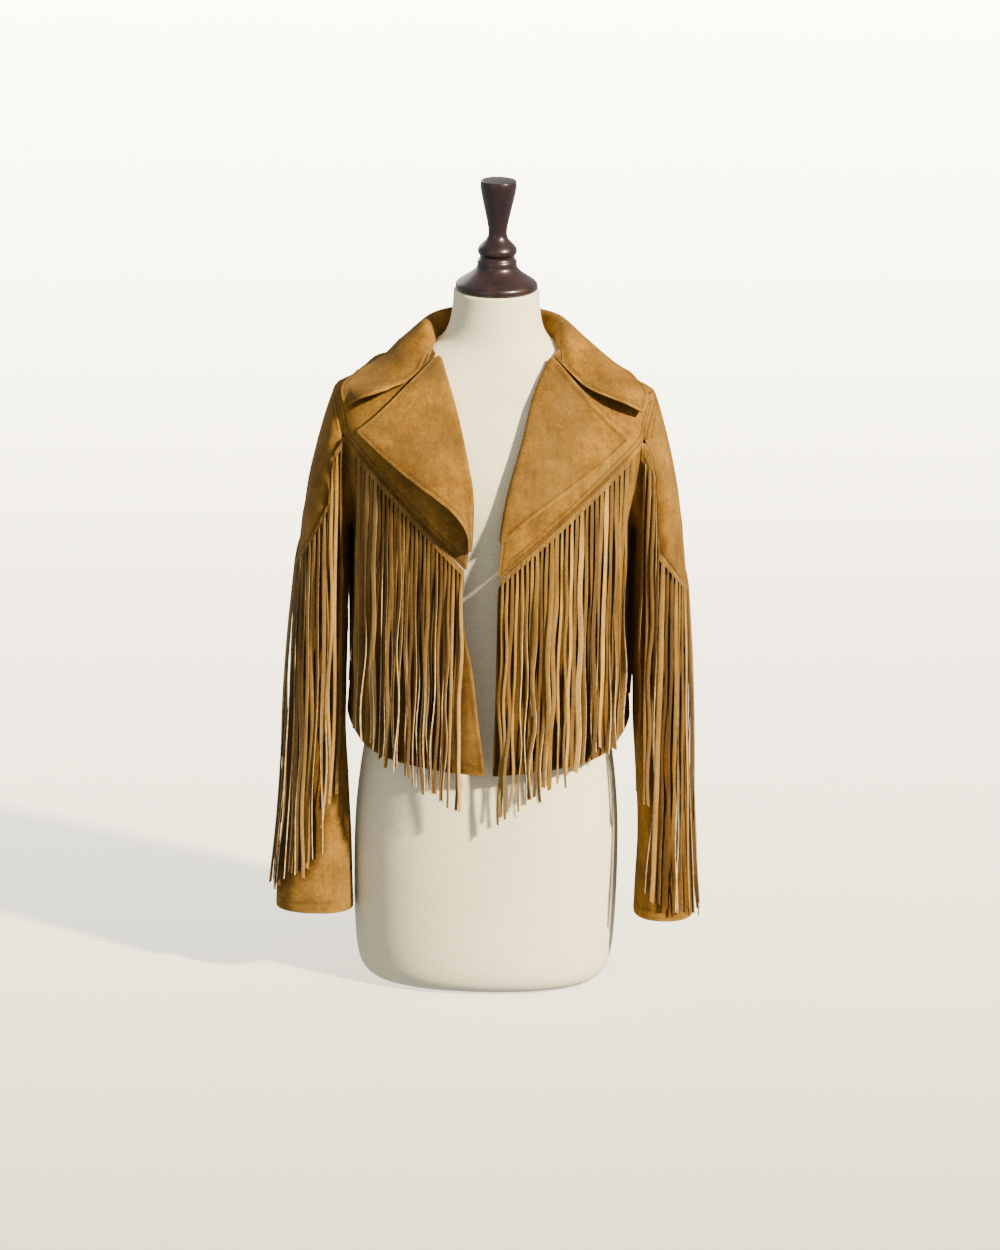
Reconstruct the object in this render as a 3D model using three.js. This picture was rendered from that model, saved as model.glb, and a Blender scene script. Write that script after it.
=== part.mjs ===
// Fringed suede jacket on a limbless dress form.
// Millimetres, +Z up. The front of the jacket faces -Y and the wearer's left is +X.
import * as THREE from 'three';

// Driving sizes
const SUEDE = 2;
const FRINGE_SUEDE = 1.5;
const SEAM_GAP = 0.3;
const SEAT_GAP = 0.9;
const UNDERARM_Z = 560;
const SHOULDER_TIP_Z = 727;
const ARMHOLE_HALF_DEPTH = 60;
const YOKE_JOINT_Z = 680;
const NECK_SIDE_Z = 785;
const ROLL_TOP_Z = 773;
const BACK_YOKE_POINT_Z = 575;
const ROLL_RADIUS = 3;
const DEGREE = Math.PI / 180;
const SIDE = 90 * DEGREE;

/** Turns plain rows into rows with named columns. */
const table = (columns, rows) =>
  rows.map((row) => Object.fromEntries(columns.map((column, i) => [column, row[i]])));

// Inside face of the jacket's body: half width, depth to the front and to the back, roundness
const BODY_SECTIONS = table(['z', 'side', 'front', 'back', 'power'], [
  [200, 170, 127, 122, 2.4],
  [281, 169, 127, 120, 2.4],
  [325, 168, 127, 118, 2.4],
  [400, 164, 127.5, 113, 2.4],
  [500, 163, 128, 107, 2.4],
  [560, 165, 128, 104, 2.4],
  [600, 172, 126, 103, 2.45],
  [640, 184, 119, 102, 2.55],
  [680, 192, 105, 100, 2.6],
  [700, 193, 96, 97, 2.55],
  [715, 192.5, 88, 94, 2.45],
  [727, 190, 80, 90, 2.3],
  [737, 170, 75, 85, 2.2],
  [747, 150, 70, 80, 2.1],
  [767, 110, 61, 72, 2.05],
  [776, 92, 58, 69, 2],
  [787, 70, 54, 65, 2],
  [800, 60, 52, 60, 2],
]);

// Outside of the dress form, the shoulders shared with the jacket
const FORM_SECTIONS = table(['z', 'side', 'front', 'back', 'power'], [
  [0, 127, 87, 91, 2.2],
  [4, 138, 97, 102, 2.2],
  [14, 149, 106, 111, 2.2],
  [34, 155, 110.5, 116, 2.2],
  [80, 158.5, 112.5, 118, 2.2],
  [143, 160, 113, 119, 2.2],
  [190, 159.5, 112, 118, 2.2],
  [230, 157.5, 110, 114, 2.2],
  [300, 149, 104, 106, 2.2],
  [370, 134, 97, 95, 2.2],
  [430, 122, 92, 85, 2.2],
  [470, 120, 92, 82, 2.2],
  [520, 126, 99, 84, 2.2],
  [560, 136, 110, 88, 2.2],
  [600, 146, 118, 92, 2.2],
  [640, 156, 112, 94, 2.3],
  [680, 166, 98, 93, 2.4],
  [705, 172, 88, 91, 2.4],
  [722, 175.5, 80, 88, 2.3],
  [732, 174, 76.5, 86, 2.2],
  [737, 169, 75, 85, 2.2],
  [747, 150, 70, 80, 2.1],
  [757, 130, 65.5, 76, 2.05],
  [767, 110, 61, 72, 2.05],
  [776, 92, 58, 69, 2],
  [787, 70, 54, 65, 2],
  [797, 60.5, 51.5, 59, 2],
  [812, 54.5, 50, 54, 2],
  [832, 52, 49.5, 51, 2],
  [850, 52, 49.5, 50.5, 2],
]);

// Hem height round the body, from centre front to centre back
const HEM = table(['turn', 'z'], [
  [0, 281],
  [30, 291],
  [60, 305],
  [90, 325],
  [130, 321],
  [180, 315],
]);

// Height of the neck seam, from the top of the lapel's roll to centre back
const NECKLINE = table(['turn', 'z'], [
  [45, 773],
  [90, 785],
  [180, 788],
]);

// Soft folds pressed into the hanging cloth: depth is out, width is in degrees of turn
const BODY_FOLDS = table(['turn', 'width', 'depth', 'from', 'to'], [
  [-62, 13, 3.5, 470, 330],
  [-20, 9, -2.5, 400, 300],
  [40, 12, 3, 450, 320],
  [70, 9, -3, 500, 340],
  [128, 14, 4, 520, 340],
  [160, 9, -3, 480, 350],
  [196, 10, 3.5, 500, 330],
  [232, 12, -3.5, 520, 360],
]);

// The two fronts, each with the line of its front edge and roll, its lapel, and the height of its
// sleeve's pointed seam from the point on the outer arm to where it turns up to the armhole
const LEFT = {
  name: 'left',
  hand: 1,
  seamStart: 524,
  breakZ: 572,
  frontEdge: table(['z', 'x'], [
    [281, 6], [400, 8], [524, 8], [551, 9], [572, 12], [600, 16],
    [642, 25], [686, 38], [740, 51], [776, 68],
  ]),
  lapelEdge: table(['x', 'z', 'lift'], [
    [17, 574, 2], [49, 602, 2.5], [78, 623, 2.5], [113, 647, 2], [163, 685, 1.5],
  ]),
  pointedSeam: table(['share', 'z'], [
    [0, 492], [0.25, 500], [0.5, 514], [0.75, 532], [1, 552],
  ]),
  cuffInset: 11,
  cuffDepth: 7,
  cuffForward: 0,
};
const RIGHT = {
  name: 'right',
  hand: -1,
  seamStart: 534,
  breakZ: 560,
  frontEdge: table(['z', 'x'], [
    [281, 2], [335, 10], [418, 21], [460, 31], [519, 34], [539, 28], [567, 26],
    [616, 26], [667, 35], [724, 50], [776, 68],
  ]),
  lapelEdge: table(['x', 'z', 'lift'], [
    [29, 564, 10], [31, 588, 24], [47, 612, 28], [75, 631, 24], [111, 653, 17], [163, 690, 8],
  ]),
  pointedSeam: table(['share', 'z'], [
    [0, 514], [0.25, 526], [0.5, 545], [0.75, 572], [1, 602],
  ]),
  cuffInset: -9,
  cuffDepth: -3,
  cuffForward: -4,
};
const FRONTS = [LEFT, RIGHT];

// Inside face of a sleeve: the line down the outer arm and the line down the inner arm
const SLEEVE_SECTIONS = table(['outX', 'outZ', 'inX', 'inZ', 'depth', 'y'], [
  [197, 706, 172, 557.5, 61, 0],
  [205, 678, 173, 552, 62, -1],
  [212, 650, 173, 546, 63, -2],
  [220, 610, 173, 537, 64, -3],
  [226, 565, 172.5, 524, 64, -4],
  [231, 520, 172, 502, 63, -5],
  [234, 470, 172, 468, 61, -6],
  [236, 424, 172, 424, 59, -7],
  [238, 365, 173, 365, 56, -9],
  [239, 300, 174, 300, 53, -12],
  [242, 227, 174, 227, 48, -16],
  [246, 171, 172, 171, 45, -19],
  [249, 125, 170, 125, 43.5, -22],
  [249.5, 90, 169, 90, 43, -24],
]);
const SLEEVE_POWER = 2.2;
const CUFF_TURN = { from: 330, to: 190 };

// Creases of the sleeves: angle round the arm from its outer line, height, reach and depth
const SLEEVE_FOLDS = table(['angle', 'z', 'width', 'height', 'depth'], [
  [70, 455, 55, 16, -2.6],
  [40, 395, 60, 13, -2.2],
  [100, 340, 50, 18, -3],
  [-80, 430, 60, 18, -3.2],
  [-50, 350, 55, 15, -2.6],
  [-110, 280, 50, 16, -2.4],
]);

const CAP_COLUMNS = 6;
const UNDER_COLUMNS = 6;
const SLEEVE_COLUMNS = 2 * (CAP_COLUMNS + UNDER_COLUMNS);

// Notch between collar and lapel: the sewn gorge line and the corner where it opens
const GORGE = { x: 68, z: 774, fall: 0.86, endX: 110 };
const COLLAR_TIP = { x: 169, z: 711 };

// Collar from centre back, way 0, to its front end, way 1
const COLLAR_STATIONS = table(['way', 'standOut', 'standUp', 'edgeTurn', 'edgeZ', 'sag', 'lift'], [
  [0, 10, 23, 180, 740, 1, 3],
  [0.25, 10, 23, 156, 739, 1, 3],
  [0.45, 10, 23, 130, 739, 2, 3],
  [0.6, 10, 23, 108, 741, 3, 3],
  [0.75, 11, 21, 90, 741, 5, 4],
  [0.88, 8, 12, 73, 730, 4, 6.5],
  [1, 2, 3, 64, 709, 0, 13],
]);
const COLLAR_FRONT_TURN = 51 * DEGREE;

const FRINGE = {
  strip: 8,
  gapShare: 0.17,
  segments: 3,
  shortest: 0.97,
  longest: 1.02,
  wave: 1.8,
  twist: 0.4,
  probe: 0.002,
  front: { strands: 26, centre: 302, side: 344 },
  back: { strands: 38, centre: 315, side: 338 },
  sleeve: { strands: 34, centre: 396, side: 428 },
};

// Turned neck cap and finial: radius against height, the cap's foot at zero
const CAP_PROFILE = table(['r', 'z'], [
  [0, 0], [47, 0], [50, 2], [50, 7], [47.5, 10], [40, 14.5], [30, 21], [24.5, 27],
  [24, 30.5], [24, 35.5], [21, 38], [21, 42], [24, 44.5], [24, 50.5], [20, 55], [12.5, 62],
  [11, 68], [12, 78], [16.5, 98], [21.5, 120], [22.5, 128], [21.5, 133], [0, 134.7],
]);
const CAP_SEGMENTS = 20;
const FORM_COLUMNS = 28;

const suede = new THREE.MeshStandardMaterial({ color: 0xb08038, roughness: 0.95, metalness: 0 });
const fringeSuede = new THREE.MeshStandardMaterial({ color: 0xa97a3a, roughness: 0.95, metalness: 0 });
const linen = new THREE.MeshStandardMaterial({ color: 0xd9d2c0, roughness: 0.9, metalness: 0 });
const darkWood = new THREE.MeshStandardMaterial({ color: 0x3a120c, roughness: 0.28, metalness: 0 });

const mix = (a, b, share) => a + (b - a) * share;
const clamp = (value, low, high) => Math.min(high, Math.max(low, value));
const smooth = (from, to, value) => THREE.MathUtils.smoothstep((value - from) / (to - from), 0, 1);
const bell = (value) => Math.exp(-value * value);

/** A repeatable number from 0 to 1 for a strand. */
const chance = (seed) => {
  const raw = Math.sin(seed * 127.1 + 11.7) * 43758.5453;
  return raw - Math.floor(raw);
};

/** Reads one column of a table against another along a smooth curve that never overshoots. */
function reading(rows, key, column) {
  const sorted = [...rows].sort((a, b) => a[key] - b[key]);
  const at = sorted.map((row) => row[key]);
  const value = sorted.map((row) => row[column]);
  const slope = at.slice(1).map((x, i) => (value[i + 1] - value[i]) / (x - at[i]));
  const tangent = at.map((_, i) => {
    const before = slope[Math.max(0, i - 1)];
    const after = slope[Math.min(slope.length - 1, i)];
    return before * after <= 0 ? 0 : (2 * before * after) / (before + after);
  });
  return (x) => {
    if (x <= at[0]) return value[0];
    if (x >= at.at(-1)) return value.at(-1);
    const i = at.findIndex((edge) => edge > x) - 1;
    const span = at[i + 1] - at[i];
    const t = (x - at[i]) / span;
    const rest = 1 - t;
    return value[i] * (1 + 2 * t) * rest * rest + tangent[i] * span * t * rest * rest
      + value[i + 1] * t * t * (3 - 2 * t) - tangent[i + 1] * span * t * t * rest;
  };
}

const readings = (rows, key, columns) =>
  Object.fromEntries(columns.map((column) => [column, reading(rows, key, column)]));

const body = readings(BODY_SECTIONS, 'z', ['side', 'front', 'back', 'power']);
const form = readings(FORM_SECTIONS, 'z', ['side', 'front', 'back', 'power']);
const hemHeight = reading(HEM, 'turn', 'z');
const necklineHeight = reading(NECKLINE, 'turn', 'z');

/** A point on a rounded section: turn 0 is the centre front, a quarter turn the +X side. */
function sectionPoint(section, turn, z) {
  const bend = 2 / section.power(z);
  const across = Math.sin(turn);
  const along = Math.cos(turn);
  const depth = along > 0 ? section.front(z) : section.back(z);
  return new THREE.Vector3(
    section.side(z) * Math.sign(across) * Math.abs(across) ** bend,
    -depth * Math.sign(along) * Math.abs(along) ** bend,
    z,
  );
}

/** The jacket's inside face, with its soft folds. */
function bodyFace(turn, z) {
  const point = sectionPoint(body, turn, z);
  const degrees = turn / DEGREE;
  let out = 0;
  for (const fold of BODY_FOLDS) {
    const away = ((degrees - fold.turn + 540) % 360) - 180;
    out += fold.depth * bell(away / fold.width) * (1 - smooth(fold.to, fold.from, z));
  }
  point.x += Math.sin(turn) * out;
  point.y -= Math.cos(turn) * out;
  return point;
}

const TURN_PROBE = 0.01;

function bodyNormal(turn, z) {
  const across = bodyFace(turn + TURN_PROBE, z).sub(bodyFace(turn - TURN_PROBE, z));
  const up = bodyFace(turn, z + 1).sub(bodyFace(turn, z - 1));
  return across.cross(up).normalize();
}

/** A point above the jacket's inside face, moved out along its normal. */
const aboveBody = (turn, z, out) => bodyFace(turn, z).addScaledVector(bodyNormal(turn, z), out);

/** The turn at which the section reaches a given x on the front. */
const turnAtX = (x, z) => Math.asin(clamp(x / body.side(z), 0, 1) ** (body.power(z) / 2));

/** The turn at which the section reaches a given depth y beside the armhole. */
function turnAtDepth(depth, z, facing) {
  const full = facing === 'front' ? body.front(z) : body.back(z);
  const fromFront = Math.acos(clamp(depth / full, 0, 1) ** (body.power(z) / 2));
  return facing === 'front' ? fromFront : Math.PI - fromFront;
}

const ARMHOLE_MID_Z = (UNDERARM_Z + SHOULDER_TIP_Z) / 2;
const ARMHOLE_HALF_HEIGHT = (SHOULDER_TIP_Z - UNDERARM_Z) / 2;
const JOINT_ANGLE = Math.acos((YOKE_JOINT_Z - ARMHOLE_MID_Z) / ARMHOLE_HALF_HEIGHT);
const armholeZ = (angle) => ARMHOLE_MID_Z + ARMHOLE_HALF_HEIGHT * Math.cos(angle);

/** Where a panel ends beside the armhole, the side seam or the shoulder seam. */
function outerTurn(z, facing) {
  const rise = clamp((z - ARMHOLE_MID_Z) / ARMHOLE_HALF_HEIGHT, -1, 1);
  const depth = Math.max(ARMHOLE_HALF_DEPTH * Math.sqrt(1 - rise * rise), SEAM_GAP / 2);
  return turnAtDepth(depth, z, facing);
}

const steps = (count, from, to) =>
  Array.from({ length: count + 1 }, (_, i) => mix(from, to, i / count));

const SIDE_SEAM_ROWS = 5;
const SHOULDER_SEAM_ROWS = 5;

/** Heights along a panel's outer edge, so that it meets the sleeve point by point. */
const bodyLevels = [
  ...steps(SIDE_SEAM_ROWS, hemHeight(90), UNDERARM_Z).slice(0, -1),
  ...steps(UNDER_COLUMNS, Math.PI, JOINT_ANGLE).map(armholeZ),
];
const yokeLevels = steps(CAP_COLUMNS, JOINT_ANGLE, 0).map(armholeZ);
const shoulderLevels = steps(SHOULDER_SEAM_ROWS, SHOULDER_TIP_Z, NECK_SIDE_Z);

/** The bands of a yoke: up to the shoulder tip, then over the shoulder to the neckline. */
const yokeBands = (seamHeight, neckline) => [
  { low: seamHeight, high: () => SHOULDER_TIP_Z, levels: yokeLevels },
  { low: () => SHOULDER_TIP_Z, high: neckline, levels: shoulderLevels },
];

/** Finds where a rising function crosses zero. */
function solve(rising, low, high) {
  let [a, b] = [low, high];
  for (let i = 0; i < 40; i += 1) {
    const middle = (a + b) / 2;
    if (rising(middle) > 0) b = middle;
    else a = middle;
  }
  return (a + b) / 2;
}

/** A cloth wall: quads over points, given a thickness along the normals, with closed rims. */
function thicken(points, quads, thickness, givenNormals) {
  const normals = givenNormals ?? points.map(() => new THREE.Vector3());
  if (!givenNormals) {
    for (const [a, b, c, d] of quads) {
      const one = points[c].clone().sub(points[a]);
      const two = points[d].clone().sub(points[b]);
      const face = one.cross(two);
      for (const corner of [a, b, c, d]) normals[corner].add(face);
    }
    for (const normal of normals) normal.normalize();
  }
  const outer = points.map((point, i) => point.clone().addScaledVector(normals[i], thickness));
  const positions = [...points, ...outer];
  const lift = points.length;
  const faces = [];
  const edges = new Map();
  for (const quad of quads) {
    const [a, b, c, d] = quad;
    faces.push([a + lift, b + lift, c + lift], [a + lift, c + lift, d + lift]);
    faces.push([a, c, b], [a, d, c]);
    quad.forEach((from, i) => edges.set(`${from} ${quad[(i + 1) % 4]}`, [from, quad[(i + 1) % 4]]));
  }
  for (const [from, to] of edges.values()) {
    if (edges.has(`${to} ${from}`)) continue;
    faces.push([to + lift, from + lift, from], [to + lift, from, to]);
  }
  return solid(positions, faces);
}

function solid(positions, faces) {
  const geometry = new THREE.BufferGeometry();
  const numbers = positions.flatMap((point) => [point.x, point.y, point.z]);
  geometry.setAttribute('position', new THREE.Float32BufferAttribute(numbers, 3));
  geometry.setIndex(faces.flat());
  geometry.computeVertexNormals();
  return geometry;
}

/** Quads of a grid stored row by row; a closed grid joins its last column to its first. */
function gridQuads(rows, columns, closed = false) {
  const width = closed ? columns : columns + 1;
  const quads = [];
  for (let r = 0; r < rows; r += 1) {
    for (let c = 0; c < columns; c += 1) {
      const next = (c + 1) % width;
      quads.push([r * width + c, r * width + next, (r + 1) * width + next, (r + 1) * width + c]);
    }
  }
  return quads;
}

/** Turns points, normals and quads made for the left hand into those of either hand. */
function handed(hand, points, quads, normals) {
  if (hand > 0) return [points, quads, normals];
  const flip = (vector) => new THREE.Vector3(-vector.x, vector.y, vector.z);
  return [points.map(flip), quads.map((quad) => [...quad].reverse()), normals?.map(flip)];
}

function piece(name, geometry, material) {
  const mesh = new THREE.Mesh(geometry, material);
  mesh.name = name;
  return mesh;
}

/** A panel of the body between two turns, in one or more bands of height. */
function panel({ from, to, bands, columns, edgeWeight, hand = 1 }) {
  const points = [];
  const normals = [];
  let rows = -1;
  for (const { low, high, levels } of bands) {
    const last = levels.length - 1;
    for (let r = rows < 0 ? 0 : 1; r <= last; r += 1) {
      rows += 1;
      const levelShare = (levels[r] - levels[0]) / (levels[last] - levels[0]);
      for (let c = 0; c <= columns; c += 1) {
        const u = c / columns;
        const z = mix(low(u), high(u), mix(r / last, levelShare, edgeWeight(u)));
        const turn = mix(from(z), to(z), u);
        points.push(bodyFace(turn, z));
        normals.push(bodyNormal(turn, z));
      }
    }
  }
  return thicken(...spread(handed(hand, points, gridQuads(rows, columns), normals), SUEDE));
}

const spread = ([points, quads, normals], thickness) => [points, quads, thickness, normals];

const FRONT_COLUMNS = 9;
const BACK_COLUMNS = 16;
const SEAM_HALF = 0.24;
const SEAM_SEARCH = { low: 480, high: 700 };

/** Height of a slanting yoke seam at a distance x from the centre. */
function seamLine(startX, startZ, endX) {
  return (x) => mix(startZ, YOKE_JOINT_Z, (x - startX) / (endX - startX));
}

function frontSide(front) {
  const edge = reading(front.frontEdge, 'z', 'x');
  const from = (z) => turnAtX(edge(z), z);
  const to = (z) => outerTurn(z, 'front');
  const joint = sectionPoint(body, to(YOKE_JOINT_Z), YOKE_JOINT_Z);
  const line = seamLine(edge(front.seamStart), front.seamStart, joint.x);
  const above = (u) => (z) => z - line(sectionPoint(body, mix(from(z), to(z), u), z).x);
  const seam = (u) => solve(above(u), SEAM_SEARCH.low, SEAM_SEARCH.high);
  return { edge, from, to, line, seam };
}

function frontPanels(front) {
  const { from, to, seam } = frontSide(front);
  const shared = { from, to, columns: FRONT_COLUMNS, edgeWeight: (u) => u * u, hand: front.hand };
  const hem = (u) => hemHeight(mix(from(hemHeight(0)), SIDE, u) / DEGREE);
  const lower = panel({
    ...shared, bands: [{ low: hem, high: (u) => seam(u) - SEAM_HALF, levels: bodyLevels }],
  });
  const neckline = (u) => necklineHeight(mix(from(ROLL_TOP_Z), SIDE, u) / DEGREE);
  const upper = panel({ ...shared, bands: yokeBands((u) => seam(u) + SEAM_HALF, neckline) });
  return [
    piece(`front_body_${front.name}`, lower, suede),
    piece(`front_yoke_${front.name}`, upper, suede),
  ];
}

const backFrom = (z) => outerTurn(z, 'back');
const backTo = (z) => 2 * Math.PI - backFrom(z);
const backJoint = sectionPoint(body, backFrom(YOKE_JOINT_Z), YOKE_JOINT_Z);
const backLine = seamLine(0, BACK_YOKE_POINT_Z, backJoint.x);

function backSeam(u) {
  return solve((z) => {
    const turn = mix(backFrom(z), backTo(z), u);
    return z - backLine(Math.abs(sectionPoint(body, turn, z).x));
  }, SEAM_SEARCH.low, SEAM_SEARCH.high);
}

function backPanels() {
  const shared = {
    from: backFrom, to: backTo, columns: BACK_COLUMNS, edgeWeight: (u) => (2 * u - 1) ** 2,
  };
  const hem = (u) => hemHeight(180 - Math.abs(180 - mix(90, 270, u)));
  const neckline = (u) => necklineHeight(180 - Math.abs(180 - mix(90, 270, u)));
  const lower = panel({
    ...shared, bands: [{ low: hem, high: (u) => backSeam(u) - SEAM_HALF, levels: bodyLevels }],
  });
  const upper = panel({ ...shared, bands: yokeBands((u) => backSeam(u) + SEAM_HALF, neckline) });
  return [piece('back_body', lower, suede), piece('back_yoke', upper, suede)];
}

/** A point on the jacket's front at a given x and height, moved out along its normal. */
const frontOn = (x, z, out) => aboveBody(turnAtX(x, z), z, out);

const LAPEL_ROWS = 11;
const LAPEL_COLUMNS = 6;
const ROLL_STEPS = 3;
const ROLL_START = -72 * DEGREE;
const ROLL_TIGHT_SHARE = { from: -0.25, to: 0.3 };
const GORGE_CLEAR = 0.5;

/** A lapel: it turns over a soft roll beside the front edge and lies on the yoke. */
function lapel(front) {
  const { edge } = frontSide(front);
  const outline = new THREE.CatmullRomCurve3(
    front.lapelEdge.map((row) => new THREE.Vector3(row.x, row.lift, row.z)), false, 'centripetal',
  );
  const over = SUEDE + SEAM_GAP;
  const points = [];
  for (let r = 0; r <= LAPEL_ROWS; r += 1) {
    const v = r / LAPEL_ROWS;
    const rollZ = mix(front.breakZ, GORGE.z - GORGE_CLEAR, v);
    const rollX = edge(rollZ);
    const { x: edgeX, y: edgeLift, z: edgeZ } = outline.getPoint(v);
    const radius = ROLL_RADIUS * smooth(ROLL_TIGHT_SHARE.from, ROLL_TIGHT_SHARE.to, v);
    for (let s = 0; s < ROLL_STEPS; s += 1) {
      const angle = mix(ROLL_START, SIDE, s / ROLL_STEPS);
      const out = over + radius * (1 + Math.sin(angle));
      points.push(frontOn(rollX - SEAM_GAP - radius * Math.cos(angle), rollZ, out));
    }
    for (let c = 0; c <= LAPEL_COLUMNS; c += 1) {
      const u = c / LAPEL_COLUMNS;
      const settle = (1 - u) ** 2;
      const out = over + 2 * radius * settle;
      const point = frontOn(mix(rollX, edgeX, u), mix(rollZ, edgeZ, u), out);
      point.y -= edgeLift * smooth(0, 1, u);
      points.push(point);
    }
  }
  const quads = gridQuads(LAPEL_ROWS, ROLL_STEPS + LAPEL_COLUMNS);
  const geometry = thicken(...spread(handed(front.hand, points, quads), SUEDE));
  return piece(`lapel_${front.name}`, geometry, suede);
}

/** Moves a point out to a clearance above the body, where it would be under it. */
function clearOfBody(point, clearance) {
  if (point.z > BODY_SECTIONS.at(-1).z) return point;
  const depth = point.y < 0 ? body.front(point.z) : body.back(point.z);
  const power = body.power(point.z);
  const reach = (Math.abs(point.x) / body.side(point.z)) ** power + (Math.abs(point.y) / depth) ** power;
  const scale = reach ** (-1 / power);
  const cosine = clamp((Math.abs(point.y) * scale) / depth, 0, 1) ** (power / 2);
  const turn = point.y < 0 ? Math.acos(cosine) : Math.PI - Math.acos(cosine);
  const lowest = aboveBody(turn, point.z, clearance);
  const inside = Math.hypot(point.x, point.y) < Math.hypot(lowest.x, lowest.y);
  return inside ? new THREE.Vector3(Math.sign(point.x) * lowest.x, lowest.y, point.z) : point;
}

const COLLAR_HALF_ROWS = 12;
const LEAF_STEPS = 5;
const COLLAR_SEAM_GAP = 3 * SEAM_GAP;
const GORGE_LIFT = 3.1;
const LIFTED_SHARE = 0.6;
const CREST = { height: 7, across: 0.75, down: 0.45 };
const LAST_PROFILE_SHARE = 0.98;

/** The collar's stand and fall at one place between centre back and a front end. */
function collarProfile(stations, way) {
  const turn = mix(Math.PI, COLLAR_FRONT_TURN, way);
  const base = aboveBody(turn, necklineHeight(turn / DEGREE) + COLLAR_SEAM_GAP, SUEDE);
  const outward = new THREE.Vector3(Math.sin(turn), -Math.cos(turn), 0);
  const standUp = stations.standUp(way);
  const crest = base.clone().addScaledVector(outward, stations.standOut(way));
  crest.z += standUp;
  const bend = Math.min(standUp, CREST.height);
  const inner = crest.clone().addScaledVector(outward, -bend * CREST.across);
  inner.z -= bend * CREST.down;
  const lift = SUEDE + SEAM_GAP + stations.lift(way);
  const edge = aboveBody(stations.edgeTurn(way) * DEGREE, stations.edgeZ(way), lift);
  const shoulder = crest.clone().addScaledVector(outward, bend * CREST.across);
  shoulder.z -= bend * CREST.down;
  const leaf = [];
  for (let i = 1; i <= LEAF_STEPS; i += 1) {
    const f = i / LEAF_STEPS;
    const point = shoulder.clone().lerp(edge, f);
    point.z -= stations.sag(way) * Math.sin(Math.PI * f);
    leaf.push(clearOfBody(point, lift));
  }
  const middle = base.clone().lerp(inner, 0.5);
  return [base, middle, inner, crest, shoulder, ...leaf];
}

/** The collar's front end: along the gorge seam to the notch, then out to the point. */
function collarEnd(stations) {
  const profile = collarProfile(stations, 1);
  const count = profile.length;
  const sewnLift = SUEDE + SEAM_GAP + GORGE_LIFT;
  const freeLift = SUEDE + SEAM_GAP + stations.lift(1);
  const liftedX = mix(GORGE.endX, COLLAR_TIP.x, LIFTED_SHARE);
  return profile.map((_, i) => {
    const f = i / (count - 1);
    const seam = GORGE.z + GORGE_CLEAR + SEAM_GAP;
    const notch = GORGE.endX;
    const x = mix(GORGE.x, COLLAR_TIP.x, f);
    const sewn = seam - GORGE.fall * (x - GORGE.x);
    const notchZ = seam - GORGE.fall * (notch - GORGE.x);
    const free = mix(notchZ, COLLAR_TIP.z, (x - notch) / (COLLAR_TIP.x - notch));
    const lift = mix(sewnLift, freeLift, smooth(notch, liftedX, x));
    return frontOn(x, x < notch ? sewn : free, lift);
  });
}

function collar() {
  const columnNames = ['standOut', 'standUp', 'edgeTurn', 'edgeZ', 'sag', 'lift'];
  const stations = readings(COLLAR_STATIONS, 'way', columnNames);
  const half = steps(COLLAR_HALF_ROWS, 0, 1).map((way) =>
    (way < 1 ? collarProfile(stations, way * LAST_PROFILE_SHARE) : collarEnd(stations)));
  const mirror = (row) => row.map((point) => new THREE.Vector3(-point.x, point.y, point.z));
  const rows = [...half.slice(1).reverse(), half[0], ...half.slice(1).map(mirror)];
  const columns = rows[0].length - 1;
  const quads = gridQuads(rows.length - 1, columns);
  return piece('collar', thicken(rows.flat(), quads, SUEDE), suede);
}

/** The ring angles of a sleeve, from its outer line: wide under the cap once past the armhole. */
function ringAngle(column, spreadShare) {
  const index = column <= SLEEVE_COLUMNS / 2 ? column : SLEEVE_COLUMNS - column;
  const atArmhole = index <= CAP_COLUMNS
    ? mix(0, JOINT_ANGLE, index / CAP_COLUMNS)
    : mix(JOINT_ANGLE, Math.PI, (index - CAP_COLUMNS) / UNDER_COLUMNS);
  const below = index <= CAP_COLUMNS
    ? mix(0, SIDE, index / CAP_COLUMNS)
    : mix(SIDE, Math.PI, (index - CAP_COLUMNS) / UNDER_COLUMNS);
  const angle = mix(atArmhole, below, spreadShare);
  return column <= SLEEVE_COLUMNS / 2 ? angle : -angle;
}

const ARMHOLE_INSET = 0.6;

/** Where the sleeve's first ring lies: just inside the armhole's edge, on the body's own surface. */
function armholeRing(column) {
  const angle = ringAngle(column, 0);
  const z = ARMHOLE_MID_Z + (ARMHOLE_HALF_HEIGHT - ARMHOLE_INSET) * Math.cos(angle);
  const depth = (ARMHOLE_HALF_DEPTH - ARMHOLE_INSET) * Math.abs(Math.sin(angle));
  const turn = turnAtDepth(depth, z, angle > 0 ? 'front' : 'back');
  return { point: bodyFace(turn, z), normal: bodyNormal(turn, z) };
}

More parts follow.
